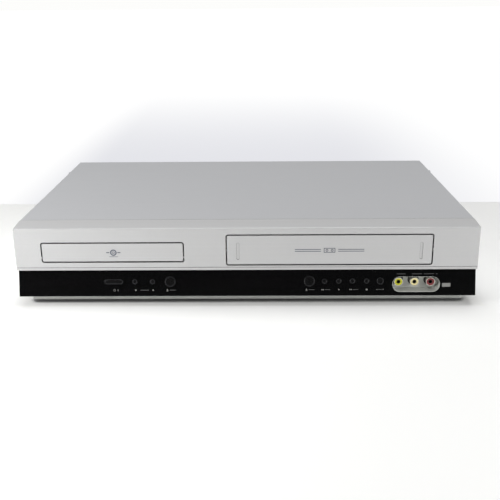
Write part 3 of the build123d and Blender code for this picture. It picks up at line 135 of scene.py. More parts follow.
def mix_colour(tree, factor, first, second):
    """Blend of two colours, each a socket or a tuple."""
    node = tree.nodes.new("ShaderNodeMix")
    node.data_type = "RGBA"
    for socket, value in ((node.inputs[0], factor), (node.inputs[6], first), (node.inputs[7], second)):
        if isinstance(value, (int, float)):
            socket.default_value = value
        elif isinstance(value, tuple):
            socket.default_value = value
        else:
            tree.links.new(value, socket)
    return node.outputs[2]


def noise(tree, vector, scale, detail=3.0, roughness=0.5):
    """Fractal noise between 0 and 1."""
    node = tree.nodes.new("ShaderNodeTexNoise")
    node.inputs["Scale"].default_value = scale
    node.inputs["Detail"].default_value = detail
    node.inputs["Roughness"].default_value = roughness
    tree.links.new(vector, node.inputs["Vector"])
    return node.outputs["Fac"]


def make_paint_group():
    """Metal flakes and the faint ripple of a sprayed coat."""
    group, start, end = new_group(
        "sprayed_coat",
        [("Vector", "NodeSocketVector", None), ("Flake Size", "NodeSocketFloat", 2600.0)],
        [("Flakes", "NodeSocketFloat"), ("Ripple", "NodeSocketFloat"), ("Cloud", "NodeSocketFloat")],
    )
    flakes = group.nodes.new("ShaderNodeTexVoronoi")
    group.links.new(start.outputs["Vector"], flakes.inputs["Vector"])
    group.links.new(start.outputs["Flake Size"], flakes.inputs["Scale"])
    split = group.nodes.new("ShaderNodeSeparateColor")
    group.links.new(flakes.outputs["Color"], split.inputs[0])
    group.links.new(split.outputs[0], end.inputs["Flakes"])
    group.links.new(noise(group, start.outputs["Vector"], 900.0, 2.0), end.inputs["Ripple"])
    group.links.new(noise(group, start.outputs["Vector"], 9.0, 3.0), end.inputs["Cloud"])
    return group


def make_brushed_group():
    """Fine lines along one axis, as rolled or brushed sheet has them."""
    group, start, end = new_group(
        "rolled_lines",
        [("Vector", "NodeSocketVector", None), ("Stretch", "NodeSocketVector", (20.0, 900.0, 900.0))],
        [("Lines", "NodeSocketFloat"), ("Streaks", "NodeSocketFloat")],
    )
    scaled = group.nodes.new("ShaderNodeVectorMath")
    scaled.operation = "MULTIPLY"
    group.links.new(start.outputs["Vector"], scaled.inputs[0])
    group.links.new(start.outputs["Stretch"], scaled.inputs[1])
    group.links.new(noise(group, scaled.outputs[0], 1.0, 3.0), end.inputs["Lines"])
    group.links.new(noise(group, scaled.outputs[0], 0.12, 2.0), end.inputs["Streaks"])
    return group


def make_spangle_group():
    """Grains of hot-dipped zinc."""
    group, start, end = new_group(
        "zinc_grains",
        [("Vector", "NodeSocketVector", None), ("Grain", "NodeSocketFloat", 160.0)],
        [("Shade", "NodeSocketFloat"), ("Fine", "NodeSocketFloat")],
    )
    cells = group.nodes.new("ShaderNodeTexVoronoi")
    group.links.new(start.outputs["Vector"], cells.inputs["Vector"])
    group.links.new(start.outputs["Grain"], cells.inputs["Scale"])
    split = group.nodes.new("ShaderNodeSeparateColor")
    group.links.new(cells.outputs["Color"], split.inputs[0])
    group.links.new(split.outputs[0], end.inputs["Shade"])
    group.links.new(noise(group, start.outputs["Vector"], 1500.0, 2.0), end.inputs["Fine"])
    return group


def make_dust_group():
    """Where dust lies: upward faces, in patches."""
    group, start, end = new_group(
        "settled_dust",
        [("Vector", "NodeSocketVector", None), ("Amount", "NodeSocketFloat", 0.2)],
        [("Mask", "NodeSocketFloat")],
    )
    geometry = group.nodes.new("ShaderNodeNewGeometry")
    split = group.nodes.new("ShaderNodeSeparateXYZ")
    group.links.new(geometry.outputs["Normal"], split.inputs[0])
    upward = math_node(group, "SUBTRACT", split.outputs["Z"], 0.6, clamp=True)
    patches = math_node(group, "MULTIPLY", upward, noise(group, start.outputs["Vector"], 60.0, 5.0))
    group.links.new(math_node(group, "MULTIPLY", patches, start.outputs["Amount"]), end.inputs["Mask"])
    return group


def make_mould_group():
    """Fine erosion grain of a moulded part and the slow change of its tone."""
    group, start, end = new_group(
        "mould_grain",
        [("Vector", "NodeSocketVector", None), ("Grain", "NodeSocketFloat", 1400.0)],
        [("Height", "NodeSocketFloat"), ("Tone", "NodeSocketFloat"), ("Rub", "NodeSocketFloat")],
    )
    grain = group.nodes.new("ShaderNodeTexNoise")
    grain.inputs["Detail"].default_value = 4.0
    group.links.new(start.outputs["Vector"], grain.inputs["Vector"])
    group.links.new(start.outputs["Grain"], grain.inputs["Scale"])
    group.links.new(grain.outputs["Fac"], end.inputs["Height"])
    group.links.new(noise(group, start.outputs["Vector"], 25.0, 3.0), end.inputs["Tone"])
    group.links.new(noise(group, start.outputs["Vector"], 220.0, 4.0, 0.7), end.inputs["Rub"])
    return group


GAP_SHADE = 3.0 * MM                        # how far the painted shade in a gap reaches
FOOT_SHADE = 6.5 * MM                       # how far the painted shadow under the player's foot reaches on the sheet
HOLE_RADIUS = 1.7 * MM                      # a socket's insert gets painted shade within this radius
COLLAR_RADIUS = 2.3 * MM                    # and has its own colour past this one


def make_gap_group():
    """Where a point lies open, the mask of the painted shade: 1 on free faces, 0 down in a gap of about the
    given width.
    """
    group, start, end = new_group(
        "open_faces", [("Width", "NodeSocketFloat", GAP_SHADE)], [("Open", "NodeSocketFloat")]
    )
    around = group.nodes.new("ShaderNodeAmbientOcclusion")
    around.samples = 12
    group.links.new(start.outputs["Width"], around.inputs["Distance"])
    ranged = group.nodes.new("ShaderNodeMapRange")
    ranged.inputs["From Min"].default_value = 0.55
    ranged.inputs["From Max"].default_value = 0.85
    group.links.new(around.outputs["AO"], ranged.inputs["Value"])
    group.links.new(ranged.outputs["Result"], end.inputs["Open"])
    return group


def make_hole_group():
    """Where a point lies outside a round hole that runs from front to back, the mask of a socket's painted
    shade.
    """
    group, start, end = new_group(
        "round_hole",
        [("Vector", "NodeSocketVector", None), ("Centre", "NodeSocketVector", (0.0, 0.0, 0.0))],
        [("Outside", "NodeSocketFloat")],
    )
    steps = []
    for operation in ("SUBTRACT", "MULTIPLY", "LENGTH"):
        step = group.nodes.new("ShaderNodeVectorMath")
        step.operation = operation
        steps.append(step)
    away, across, reach = steps
    group.links.new(start.outputs["Vector"], away.inputs[0])
    group.links.new(start.outputs["Centre"], away.inputs[1])
    group.links.new(away.outputs["Vector"], across.inputs[0])
    across.inputs[1].default_value = (1.0, 0.0, 1.0)
    group.links.new(across.outputs["Vector"], reach.inputs[0])
    ranged = group.nodes.new("ShaderNodeMapRange")
    ranged.inputs["From Min"].default_value = HOLE_RADIUS
    ranged.inputs["From Max"].default_value = COLLAR_RADIUS
    group.links.new(reach.outputs["Value"], ranged.inputs["Value"])
    group.links.new(ranged.outputs["Result"], end.inputs["Outside"])
    return group


PAINT = make_paint_group()
GAPS = make_gap_group()
HOLE = make_hole_group()
BRUSHED = make_brushed_group()
SPANGLE = make_spangle_group()
DUST = make_dust_group()
MOULD = make_mould_group()


def place_group(tree, group, vector, **values):
    """A group in a material, fed with the coordinates."""
    node = tree.nodes.new("ShaderNodeGroup")
    node.node_tree = group
    tree.links.new(vector, node.inputs["Vector"])
    for key, value in values.items():
        node.inputs[key.replace("_", " ")].default_value = value
    return node.outputs


def shade(colour, factor):
    """A colour times a number, with its alpha."""
    return (colour[0] * factor, colour[1] * factor, colour[2] * factor, 1.0)


def start_material(name, roughness, metallic=0.0, **sockets):
    """A material with its Principled shader, object coordinates and the tree."""
    material = bpy.data.materials.new(name)
    material.use_nodes = True
    tree = material.node_tree
    shader = tree.nodes["Principled BSDF"]
    shader.inputs["Roughness"].default_value = roughness
    shader.inputs["Metallic"].default_value = metallic
    for key, value in sockets.items():
        shader.inputs[key.replace("_", " ")].default_value = value
    coordinates = tree.nodes.new("ShaderNodeTexCoord").outputs["Object"]
    return material, tree, shader, coordinates


def set_bump(tree, shader, height, strength, distance):
    """Fine relief on the shader's normal."""
    bump = tree.nodes.new("ShaderNodeBump")
    bump.inputs["Strength"].default_value = strength
    bump.inputs["Distance"].default_value = distance
    tree.links.new(height, bump.inputs["Height"])
    tree.links.new(bump.outputs["Normal"], shader.inputs["Normal"])


def set_roughness(tree, shader, source, low, high):
    """Roughness that follows a value between 0 and 1."""
    ranged = tree.nodes.new("ShaderNodeMapRange")
    ranged.inputs["To Min"].default_value = low
    ranged.inputs["To Max"].default_value = high
    tree.links.new(source, ranged.inputs["Value"])
    tree.links.new(ranged.outputs["Result"], shader.inputs["Roughness"])


def painted_shade_mask(tree, width):
    """The mask of open faces that painted shade follows, for gaps and holes of about this width."""
    gaps = tree.nodes.new("ShaderNodeGroup")
    gaps.node_tree = GAPS
    gaps.inputs["Width"].default_value = width
    return gaps.outputs["Open"]


def sprayed(name, colour, roughness, metallic, flake, dust=0.1):
    """Metallic paint: flakes, soft clouds, faint lines from left to right, a little dust and painted shade
    down in gaps.
    """
    material, tree, shader, where = start_material(name, roughness, metallic)
    coat = place_group(tree, PAINT, where)
    flakes = mix_colour(tree, coat["Flakes"], shade(colour, 1 - flake), shade(colour, 1 + flake))
    clouds = mix_colour(tree, coat["Cloud"], shade(colour, 0.97), shade(colour, 1.02))
    toned = mix_colour(tree, 0.5, flakes, clouds)
    drawn = place_group(tree, BRUSHED, where, Stretch=(3.0, 700.0, 700.0))
    lined = mix_colour(tree, drawn["Lines"], shade(colour, 0.94), shade(colour, 1.06))
    toned = mix_colour(tree, 0.5, toned, lined)
    dusty = place_group(tree, DUST, where, Amount=dust)
    coated = mix_colour(tree, dusty["Mask"], toned, DUST_ON_PAINT)
    # painted shade: faces down in a gap are made nearly black
    shaded = mix_colour(tree, painted_shade_mask(tree, GAP_SHADE), shade(colour, 0.02), coated)
    tree.links.new(shaded, shader.inputs["Base Color"])
    set_roughness(tree, shader, coat["Flakes"], roughness - 0.05, roughness + 0.05)
    set_bump(tree, shader, coat["Ripple"], 0.12, 0.02 * MM)
    return material


def moulded(
    name, colour, roughness, grain=1400.0, relief=0.3, contrast=0.06, dust=0.1, hole=None, **sockets
):
    """Plain moulded plastic or rubber: grain, uneven tone, spots of rubbing in the roughness and, if a hole
    is given, painted shade down in it.
    """
    material, tree, shader, where = start_material(name, roughness, **sockets)
    skin = place_group(tree, MOULD, where, Grain=grain)
    tone = mix_colour(tree, skin["Tone"], shade(colour, 1 - contrast), shade(colour, 1 + contrast))
    dusty = place_group(tree, DUST, where, Amount=dust)
    skinned = mix_colour(tree, dusty["Mask"], tone, DUST_ON_PARTS)
    # painted shade: the insert goes dark down in the socket's hole
    if hole:
        outside = place_group(tree, HOLE, where, Centre=hole)["Outside"]
        skinned = mix_colour(tree, outside, shade(colour, 0.02), skinned)
    tree.links.new(skinned, shader.inputs["Base Color"])
    set_roughness(tree, shader, skin["Rub"], roughness - 0.06, roughness + 0.08)
    set_bump(tree, shader, skin["Height"], relief, 0.03 * MM)
    return material


def rimmed_button(name, colour, rim_highlight_colour):
    """Gloss black button whose sloping edges carry a painted highlight, lighter than its flat faces."""
    material, tree, shader, where = start_material(name, 0.2, Specular_IOR_Level=0.4)
    skin = place_group(tree, MOULD, where, Grain=1400.0)
    geometry = tree.nodes.new("ShaderNodeNewGeometry")
    facing = tree.nodes.new("ShaderNodeVectorMath")
    facing.operation = "DOT_PRODUCT"
    facing.inputs[1].default_value = (0, -cos(BAND_LEAN), sin(BAND_LEAN))
    tree.links.new(geometry.outputs["Normal"], facing.inputs[0])
    sloping = tree.nodes.new("ShaderNodeMapRange")
    sloping.inputs["From Min"].default_value = 0.995
    sloping.inputs["From Max"].default_value = 0.93
    tree.links.new(facing.outputs["Value"], sloping.inputs["Value"])
    # painted highlight: sloping rims get a lighter colour, unevenly along the tone noise
    rim_highlight_mask = math_node(tree, "MULTIPLY", sloping.outputs["Result"], skin["Tone"])
    rimmed = mix_colour(tree, rim_highlight_mask, shade(colour, 1.0), shade(rim_highlight_colour, 1.0))
    tree.links.new(rimmed, shader.inputs["Base Color"])
    set_roughness(tree, shader, skin["Rub"], 0.16, 0.3)
    set_bump(tree, shader, skin["Height"], 0.05, 0.03 * MM)
    return material


def metal(name, colour, roughness, stretch, contrast=0.08, relief=0.2):
    """Bare metal with fine lines."""
    material, tree, shader, where = start_material(name, roughness, 1.0)
    lines = place_group(tree, BRUSHED, where, Stretch=stretch)
    streaked = mix_colour(tree, lines["Streaks"], shade(colour, 1 - contrast), shade(colour, 1 + contrast))
    tree.links.new(streaked, shader.inputs["Base Color"])
    set_roughness(tree, shader, lines["Lines"], roughness - 0.08, roughness + 0.1)
    set_bump(tree, shader, lines["Lines"], relief, 0.01 * MM)
    return material


def zinc_sheet(name, colour, roughness):
    """Galvanised steel sheet."""
    material, tree, shader, where = start_material(name, roughness, 0.85)
    grains = place_group(tree, SPANGLE, where)
    toned = mix_colour(tree, grains["Shade"], shade(colour, 0.92), shade(colour, 1.06))
    dusty = place_group(tree, DUST, where, Amount=0.15)
    tree.links.new(mix_colour(tree, dusty["Mask"], toned, DUST_ON_PARTS), shader.inputs["Base Color"])
    set_roughness(tree, shader, grains["Shade"], roughness - 0.06, roughness + 0.1)
    set_bump(tree, shader, grains["Fine"], 0.15, 0.01 * MM)
    return material


def circuit_laminate(name):
    """Solder mask with copper tracks under it."""
    material, tree, shader, where = start_material(name, 0.38)
    bricks = tree.nodes.new("ShaderNodeTexBrick")
    tree.links.new(where, bricks.inputs["Vector"])
    bricks.inputs["Scale"].default_value = 120.0
    bricks.inputs["Mortar Size"].default_value = 0.03
    bricks.inputs["Color1"].default_value = (0.42, 0.30, 0.13, 1.0)
    bricks.inputs["Color2"].default_value = (0.36, 0.26, 0.11, 1.0)
    bricks.inputs["Mortar"].default_value = (0.27, 0.19, 0.07, 1.0)
    patches = noise(tree, where, 40.0, 4.0)
    patchy = mix_colour(tree, patches, (0.33, 0.24, 0.10, 1.0), (0.45, 0.33, 0.15, 1.0))
    tree.links.new(mix_colour(tree, 0.5, bricks.outputs["Color"], patchy), shader.inputs["Base Color"])
    set_roughness(tree, shader, noise(tree, where, 300.0), 0.3, 0.5)
    set_bump(tree, shader, bricks.outputs["Fac"], 0.2, 0.03 * MM)
    return material


# the middles of the sockets' holes, where their inserts get painted shade
YELLOW_HOLE, WHITE_HOLE, RED_HOLE = [(x * MM, 0.0, SOCKET_HEIGHT * MM) for x in FRONT_SOCKETS_X]

MATERIALS = {
    "cover_paint": sprayed("cover_paint", (0.455, 0.46, 0.475), 0.48, 0.2, flake=0.05),
    "silver_plastic": sprayed("silver_plastic", (0.47, 0.47, 0.472), 0.42, 0.15, flake=0.07, dust=0.03),
    "zinc_steel": zinc_sheet("zinc_steel", (0.46, 0.47, 0.45), 0.38),
    "black_gloss": moulded(
        "black_gloss", (0.0022, 0.0022, 0.0024), 0.16, relief=0.03, contrast=0.2, dust=0.015,
        Specular_IOR_Level=0.27,
    ),
    # the last colour is the painted highlight on the buttons' rims
    "button_gloss": rimmed_button("button_gloss", (0.0035, 0.0035, 0.0038), (0.055, 0.055, 0.06)),
    "pocket_grey": moulded("pocket_grey", (0.44, 0.45, 0.42), 0.34),
    "foot_rubber": moulded("foot_rubber", (0.018, 0.018, 0.018), 0.75, grain=900.0, relief=0.5),
    "screw_steel": metal("screw_steel", (0.30, 0.30, 0.31), 0.35, (900.0, 900.0, 900.0)),
    "board_laminate": circuit_laminate("board_laminate"),
    "black_plastic": moulded("black_plastic", (0.016, 0.016, 0.017), 0.45),
    "display_glass": moulded("display_glass", (0.02, 0.035, 0.035), 0.12, relief=0.02, contrast=0.3),
    "socket_metal": metal("socket_metal", (0.62, 0.60, 0.54), 0.25, (900.0, 60.0, 900.0)),
    "socket_yellow": moulded("socket_yellow", (0.50, 0.49, 0.015), 0.35, relief=0.08, hole=YELLOW_HOLE),
    "socket_white": moulded("socket_white", (0.72, 0.64, 0.32), 0.35, relief=0.08, hole=WHITE_HOLE),
    "socket_red": moulded("socket_red", (0.17, 0.012, 0.016), 0.35, relief=0.08, hole=RED_HOLE),
    "tray_plastic": moulded("tray_plastic", (0.028, 0.028, 0.030), 0.42, relief=0.35),
    "drive_plastic": moulded("drive_plastic", (0.045, 0.045, 0.048), 0.5),
    "polished_steel": metal("polished_steel", (0.66, 0.66, 0.67), 0.16, (900.0, 40.0, 900.0)),
    "motor_steel": metal("motor_steel", (0.52, 0.52, 0.50), 0.34, (900.0, 900.0, 60.0)),
    "gear_plastic": moulded("gear_plastic", (0.66, 0.65, 0.58), 0.4, relief=0.15),
    "belt_rubber": moulded("belt_rubber", (0.014, 0.014, 0.014), 0.6, grain=1800.0),
    "drum_alloy": metal("drum_alloy", (0.74, 0.74, 0.75), 0.18, (120.0, 120.0, 1600.0), contrast=0.04),
}

for entry in frame["record"]["subparts"]:
    finish = entry["material_slot"]
    if entry["node"].endswith("_button"):
        finish = "button_gloss"
    for slot in nodes[entry["node"]].material_slots:
        slot.material = MATERIALS[finish]


# ---------------------------------------------------------------- printed marks on the band and the doors
def printed(name, matrix, body, material, draw):
    """A thin printed mark that rides with a body: draw adds flat outlines in the surface's X and Y."""
    shape = bmesh.new()
    draw(shape)
    bmesh.ops.recalc_face_normals(shape, faces=shape.faces)
    flat = list(shape.faces)
    for face in flat:
        if face.normal.z < 0:
            face.normal_flip()
    raised = bmesh.ops.extrude_face_region(shape, geom=flat, use_keep_orig=True)
    top = [item for item in raised["geom"] if isinstance(item, bmesh.types.BMVert)]
    bmesh.ops.translate(shape, vec=(0, 0, PRINT_DEPTH * MM), verts=top)
    bmesh.ops.recalc_face_normals(shape, faces=shape.faces)
    bmesh.ops.translate(shape, vec=(0, 0, PRINT_LIFT * MM), verts=shape.verts)
    bmesh.ops.transform(shape, matrix=matrix, verts=shape.verts)
    mesh = bpy.data.meshes.new(name)
    shape.to_mesh(mesh)
    shape.free()
    mark = bpy.data.objects.new(name, mesh)
    bpy.context.collection.objects.link(mark)
    mesh.materials.append(material)
    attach(mark, body)
    return mark


def placed(x, y, turn=0.0):
    """Matrix of a flat outline about a point given in millimetres."""
    return Matrix.Translation((x * MM, y * MM, 0)) @ Matrix.Rotation(turn, 4, "Z")


def bar(shape, x, y, width, height):
    """A rectangle about its middle, in millimetres."""
    size = Matrix.Diagonal((width * MM, height * MM, 1, 1))
    bmesh.ops.create_grid(shape, x_segments=1, y_segments=1, size=0.5, matrix=placed(x, y) @ size)


def triangle(shape, x, y, size, turn):
    """A regular triangle that points right, turned by an angle."""
    point_right = placed(x, y, turn - radians(90))
    bmesh.ops.create_circle(shape, cap_ends=True, segments=3, radius=size * MM, matrix=point_right)


def dot(shape, x, y, radius):
    """A round dot."""
    bmesh.ops.create_circle(shape, cap_ends=True, segments=24, radius=radius * MM, matrix=placed(x, y))


def ring(shape, x, y, radius, width, first=0.0, turn=2 * pi):
    """A ring or an arc: a short line spun about the middle."""
    ends = []
    for reach in (radius - width, radius):
        place = (x + reach * cos(first), y + reach * sin(first), 0)
        ends.append(shape.verts.new(Vector(place) * MM))
    line = shape.edges.new(ends)
    middle = Vector((x, y, 0)) * MM
    bmesh.ops.spin(
        shape, geom=[*ends, line], axis=(0, 0, 1), cent=middle, angle=turn, steps=36, use_merge=turn > 6
    )


print_grey = moulded("print_grey", (0.20, 0.20, 0.19), 0.5, relief=0.05, dust=0.0)
print_blue = moulded("print_blue", (0.075, 0.085, 0.12), 0.5, relief=0.05, dust=0.0)
print_dim = moulded("print_dim", (0.055, 0.055, 0.055), 0.5, relief=0.05, dust=0.0)


def power_sign(shape, x):
    """A broken ring with a bar in it, and a short bar beside it."""
    ring(shape, x, LABEL_UP, 1.1, 0.3, radians(120), radians(300))
    bar(shape, x, LABEL_UP + 0.8, 0.3, 1.2)
    bar(shape, x + 3.2, LABEL_UP, 0.4, 1.8)


def down_sign(shape, x):
    """A triangle that points down."""
    triangle(shape, x, LABEL_UP, 1.0, radians(-90))


def up_sign(shape, x):
    """A triangle that points up."""
    triangle(shape, x, LABEL_UP, 1.0, radians(90))


def eject_sign(shape, x):
    """A triangle that points up, over a bar."""
    triangle(shape, x, LABEL_UP + 0.2, 1.0, radians(90))
    bar(shape, x, LABEL_UP - 0.9, 1.7, 0.35)


def rewind_sign(shape, x):
    """Two triangles that point left."""
    for side in (-0.7, 0.7):
        triangle(shape, x + side, LABEL_UP, 0.8, pi)


def play_sign(shape, x):
    """A triangle that points right."""
    triangle(shape, x, LABEL_UP, 1.0, 0.0)


def forward_sign(shape, x):
    """Two triangles that point right."""
    for side in (-0.7, 0.7):
        triangle(shape, x + side, LABEL_UP, 0.8, 0.0)


def record_sign(shape, x):
    """A round dot."""
    dot(shape, x, LABEL_UP, 0.85)


def source_sign(shape, x):
    """Two triangles that point away from each other, with the room of a rule between them."""
    triangle(shape, x - 2.9, LABEL_UP, 0.7, pi)
    triangle(shape, x + 2.9, LABEL_UP, 0.7, 0.0)


label_marks = [
    ("power_mark", power_sign, -124.6),
    ("program_down_mark", down_sign, -104.5),
    ("program_up_mark", up_sign, -88.1),
    ("disc_eject_mark", eject_sign, -74.6),
    ("cassette_eject_mark", eject_sign, 56.6),
    ("rewind_mark", rewind_sign, 71.7),
    ("play_mark", play_sign, 87.0),
    ("fast_forward_mark", forward_sign, 98.1),
    ("record_mark", record_sign, 113.1),
    ("source_mark", source_sign, 125.7),
]
for mark_name, draw_sign, sign_x in label_marks:
    printed(mark_name, band_frame, "chassis", print_grey, partial(draw_sign, x=sign_x))

# plain lines where the captions would be: left end, right end and height up the band
caption_lines = [
    (-100.2, -92.2, LABEL_UP), (-72.4, -66.4, LABEL_UP), (58.6, 64.2, LABEL_UP),
    (74.0, 78.8, LABEL_UP), (100.4, 105.2, LABEL_UP), (124.0, 127.4, LABEL_UP),
    (141.2, 149.4, CAPTION_UP), (155.4, 164.9, CAPTION_UP), (166.9, 175.9, CAPTION_UP),
    (177.9, 179.4, CAPTION_UP),
]


def draw_captions(shape):
    """The caption lines, a short rule each."""
    for left, right, height in caption_lines:
        bar(shape, (left + right) / 2, height, right - left, 0.55)


printed("caption_lines", band_frame, "chassis", print_dim, draw_captions)


def draw_plate(shape):
    """Blank plate beside the sockets, with rounded corners."""
    bar(shape, PLATE_X, PLATE_UP, 8.0, 3.4)
    corners = list(shape.verts)
    bmesh.ops.bevel(
        shape, geom=corners, offset=0.5 * MM, segments=4, profile=0.5, affect="VERTICES", material=-1
    )


printed("blank_plate", band_frame, "chassis", print_grey, draw_plate)


def up_face(z):
    """Distance up the silver face of a point at this height, both in millimetres."""
    return (z - FACE_FOOT_HEIGHT) / cos(FACE_LEAN)


def draw_disc_sign(shape):
    """A disc between two rules, over a third."""
    middle, height = DISC_SIGN_X, up_face(DISC_SIGN_HEIGHT)
    ring(shape, middle, height, 3.0, 1.0)
    ring(shape, middle, height, 1.2, 0.45)
    bar(shape, middle - 5.2, height, 2.8, 0.8)
    bar(shape, middle + 5.2, height, 2.8, 0.8)
    bar(shape, middle, height - 4.0, 8.0, 0.35)


def draw_tape_sign(shape):
    """Two reels in a frame, with a pair of rules on both sides."""
    middle, height = TAPE_SIGN_X, up_face(TAPE_SIGN_HEIGHT)
    for side in (-1, 1):
        ring(shape, middle + side * 2.4, height, 1.2, 0.5)
        bar(shape, middle + side * 5.0, height, 0.5, 4.4)
        bar(shape, middle, height + side * 1.95, 9.6, 0.5)
        for rule in (-1, 1):
            bar(shape, middle + side * 20.0, height + rule * 0.9, 24.0, 0.55)


printed("disc_sign", face_frame, "tray", print_blue, draw_disc_sign)
printed("tape_sign", face_frame, "cassette_door", print_blue, draw_tape_sign)

# ---------------------------------------------------------------- the sheet and the white sweep behind it
SWEEP_START = 0.205                         # where the sheet under the player ends, behind it
SHEET_EDGE = 0.006                          # the soft step from the sheet to the sweep
FLOOR_REACH = 12.0
WHITE = (1.0, 1.0, 1.0, 1.0)
BLACK = (0.0, 0.0, 0.0, 1.0)
BACKDROP_SHADOW_GREY = (0.755, 0.76, 0.80, 1.0)
SHEET_IN_SHADE = (0.2, 0.2, 0.2, 1.0)


def between(tree, coordinate, near, far, low=0.0, high=1.0):
    """A value that changes smoothly from low to high between two places."""
    ranged = tree.nodes.new("ShaderNodeMapRange")
    ranged.interpolation_type = "SMOOTHSTEP"
    ranged.inputs["From Min"].default_value = near
    ranged.inputs["From Max"].default_value = far
    ranged.inputs["To Min"].default_value = low
    ranged.inputs["To Max"].default_value = high
    tree.links.new(coordinate, ranged.inputs["Value"])
    return ranged.outputs["Result"]


def largest(tree, first, *others):
    """The largest of some values."""
    for other in others:
        first = math_node(tree, "MAXIMUM", first, other)
    return first


def sheet_material():
    """Lit paper that keeps the player's shadow, with a painted shadow close to its foot, painted light away
    from it, and a white sweep past its rear edge with a painted shadow behind the player.
    """
    material, tree, shader, where = start_material("studio_floor", 0.9, Specular_IOR_Level=0.1)
    axes = tree.nodes.new("ShaderNodeSeparateXYZ")
    tree.links.new(where, axes.inputs[0])
    x, y = axes.outputs["X"], axes.outputs["Y"]

    # the sweep glows white, with a painted soft grey shadow behind the player
    sweep = between(tree, y, SWEEP_START, SWEEP_START + SHEET_EDGE)
    painted_backdrop_shadow_across = math_node(tree, "MULTIPLY", between(tree, x, -0.37, -0.25), between(tree, x, 0.46, 0.14))
    painted_backdrop_shadow = math_node(tree, "MULTIPLY", painted_backdrop_shadow_across, between(tree, y, 1.5, 0.36))
    # painted light: the sheet itself glows brighter away from the player's foot
    painted_light_front = between(tree, y, -0.1265, -0.145, high=0.14)
    painted_light_left = between(tree, x, -0.212, -0.235, high=0.12)
    painted_light_right = between(tree, x, 0.212, 0.235, high=0.16)
    glow = tree.nodes.new("ShaderNodeEmission")
    tree.links.new(largest(tree, sweep, painted_light_left, painted_light_right, painted_light_front), glow.inputs["Strength"])
    tree.links.new(mix_colour(tree, painted_backdrop_shadow, WHITE, BACKDROP_SHADOW_GREY), glow.inputs["Color"])

    # only rays that end in the picture see the glow with its painted light, and the painted shadow close to
    # the player's foot
    rays = tree.nodes.new("ShaderNodeLightPath").outputs
    seen = largest(tree, rays["Is Camera Ray"], rays["Is Glossy Ray"], rays["Is Transmission Ray"])
    paper = mix_colour(tree, sweep, SHEET_COLOUR, BLACK)
    # painted shadow: the sheet goes grey close to the player's foot
    shaded_paper = mix_colour(tree, painted_shade_mask(tree, FOOT_SHADE), SHEET_IN_SHADE, paper)
    tree.links.new(mix_colour(tree, seen, SHEET_COLOUR, shaded_paper), shader.inputs["Base Color"])
    lit = tree.nodes.new("ShaderNodeAddShader")
    tree.links.new(shader.outputs[0], lit.inputs[0])
    tree.links.new(glow.outputs[0], lit.inputs[1])
    choice = tree.nodes.new("ShaderNodeMixShader")
    tree.links.new(seen, choice.inputs[0])
    tree.links.new(shader.outputs[0], choice.inputs[1])
    tree.links.new(lit.outputs[0], choice.inputs[2])
    tree.links.new(choice.outputs[0], tree.nodes["Material Output"].inputs[0])
    return material


floor_shape = bmesh.new()
bmesh.ops.create_grid(floor_shape, x_segments=2, y_segments=2, size=FLOOR_REACH)
floor_mesh = bpy.data.meshes.new("studio_floor")
floor_shape.to_mesh(floor_mesh)
floor_shape.free()
floor_mesh.materials.append(sheet_material())
floor = bpy.data.objects.new("studio_floor", floor_mesh)
bpy.context.collection.objects.link(floor)


# ---------------------------------------------------------------- world and lamps
def studio_world():
    """Dim light, white to the camera; shiny faces mirror a bright back wall and a dark front."""
    world = bpy.data.worlds.new("studio")
    world.use_nodes = True
    tree = world.node_tree
    dim_light = tree.nodes["Background"]
    parts = tree.nodes.new("ShaderNodeSeparateXYZ")
    tree.links.new(tree.nodes.new("ShaderNodeTexCoord").outputs["Generated"], parts.inputs[0])
    mirror_view = tree.nodes.new("ShaderNodeBackground")
    tree.links.new(between(tree, parts.outputs["Y"], -0.75, 0.35, low=0.03), mirror_view.inputs["Strength"])
    white_view = tree.nodes.new("ShaderNodeBackground")
    white_view.inputs["Color"].default_value = (0.985, 0.985, 0.97, 1.0)
    rays = tree.nodes.new("ShaderNodeLightPath").outputs
    by_mirror = tree.nodes.new("ShaderNodeMixShader")
    tree.links.new(rays["Is Glossy Ray"], by_mirror.inputs[0])
    tree.links.new(dim_light.outputs[0], by_mirror.inputs[1])
    tree.links.new(mirror_view.outputs[0], by_mirror.inputs[2])
    by_eye = tree.nodes.new("ShaderNodeMixShader")
    tree.links.new(largest(tree, rays["Is Camera Ray"], rays["Is Transmission Ray"]), by_eye.inputs[0])
    tree.links.new(by_mirror.outputs[0], by_eye.inputs[1])
    tree.links.new(white_view.outputs[0], by_eye.inputs[2])
    tree.links.new(by_eye.outputs[0], tree.nodes["World Output"].inputs[0])
    return world


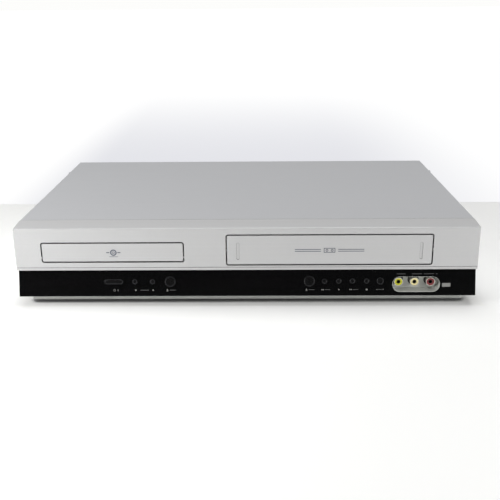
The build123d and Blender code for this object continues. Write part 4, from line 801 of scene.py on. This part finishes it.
def softbox(name, place, target, size, power):
    """A square area lamp that looks at a point."""
    lamp = bpy.data.lights.new(name, "AREA")
    lamp.size = size
    lamp.energy = power
    thing = bpy.data.objects.new(name, lamp)
    bpy.context.collection.objects.link(thing)
    thing.location = place
    aim = Vector(target) - Vector(place)
    thing.rotation_euler = aim.to_track_quat("-Z", "Y").to_euler()
    return thing


bpy.context.scene.world = studio_world()
softbox("top_box", (0.1, 0.2, 1.9), (0.0, 0.0, 0.05), 1.6, 21.5)
softbox("left_box", (-0.62, -0.42, 0.28), (-0.2, -0.13, 0.05), 0.3, 4.3)
softbox("right_box", (0.9, -0.6, 0.22), (0.15, -0.05, 0.05), 0.5, 6.2)
front_fill = softbox("front_fill", (0.1, -1.7, 0.5), (0.0, -0.1, 0.05), 0.9, 3.2)
front_fill.visible_glossy = False

# ---------------------------------------------------------------- camera, fitted to the photograph
SENSOR = 36.0
PHOTO_SIZE = 500
FOCAL_PIXELS = 704.37
PITCH = 0.352
YAW = -0.015
ROLL = -0.009
EYE = Vector((12.9 * MM, FACE_Y - 610.2 * MM, 280.4 * MM))


def fitted_camera():
    """The camera with the lens, place and turn of the photograph."""
    forward = Vector((sin(YAW) * cos(PITCH), cos(YAW) * cos(PITCH), -sin(PITCH)))
    level = Vector((cos(YAW), -sin(YAW), 0))
    above = level.cross(forward)
    right = level * cos(ROLL) + above * sin(ROLL)
    upward = above * cos(ROLL) - level * sin(ROLL)
    lens = bpy.data.cameras.new("camera")
    lens.sensor_width = SENSOR
    lens.lens = FOCAL_PIXELS / PHOTO_SIZE * SENSOR
    lens.clip_start = 0.01
    lens.clip_end = 100.0
    camera = bpy.data.objects.new("camera", lens)
    bpy.context.collection.objects.link(camera)
    view_matrix = Matrix((right, upward, -forward)).transposed().to_4x4()
    view_matrix.translation = EYE
    camera.matrix_world = view_matrix
    return camera


bpy.context.scene.camera = fitted_camera()
bpy.context.scene.view_settings.view_transform = "Standard"

# ---------------------------------------------------------------- the scene brought up to date
bpy.context.view_layer.update()
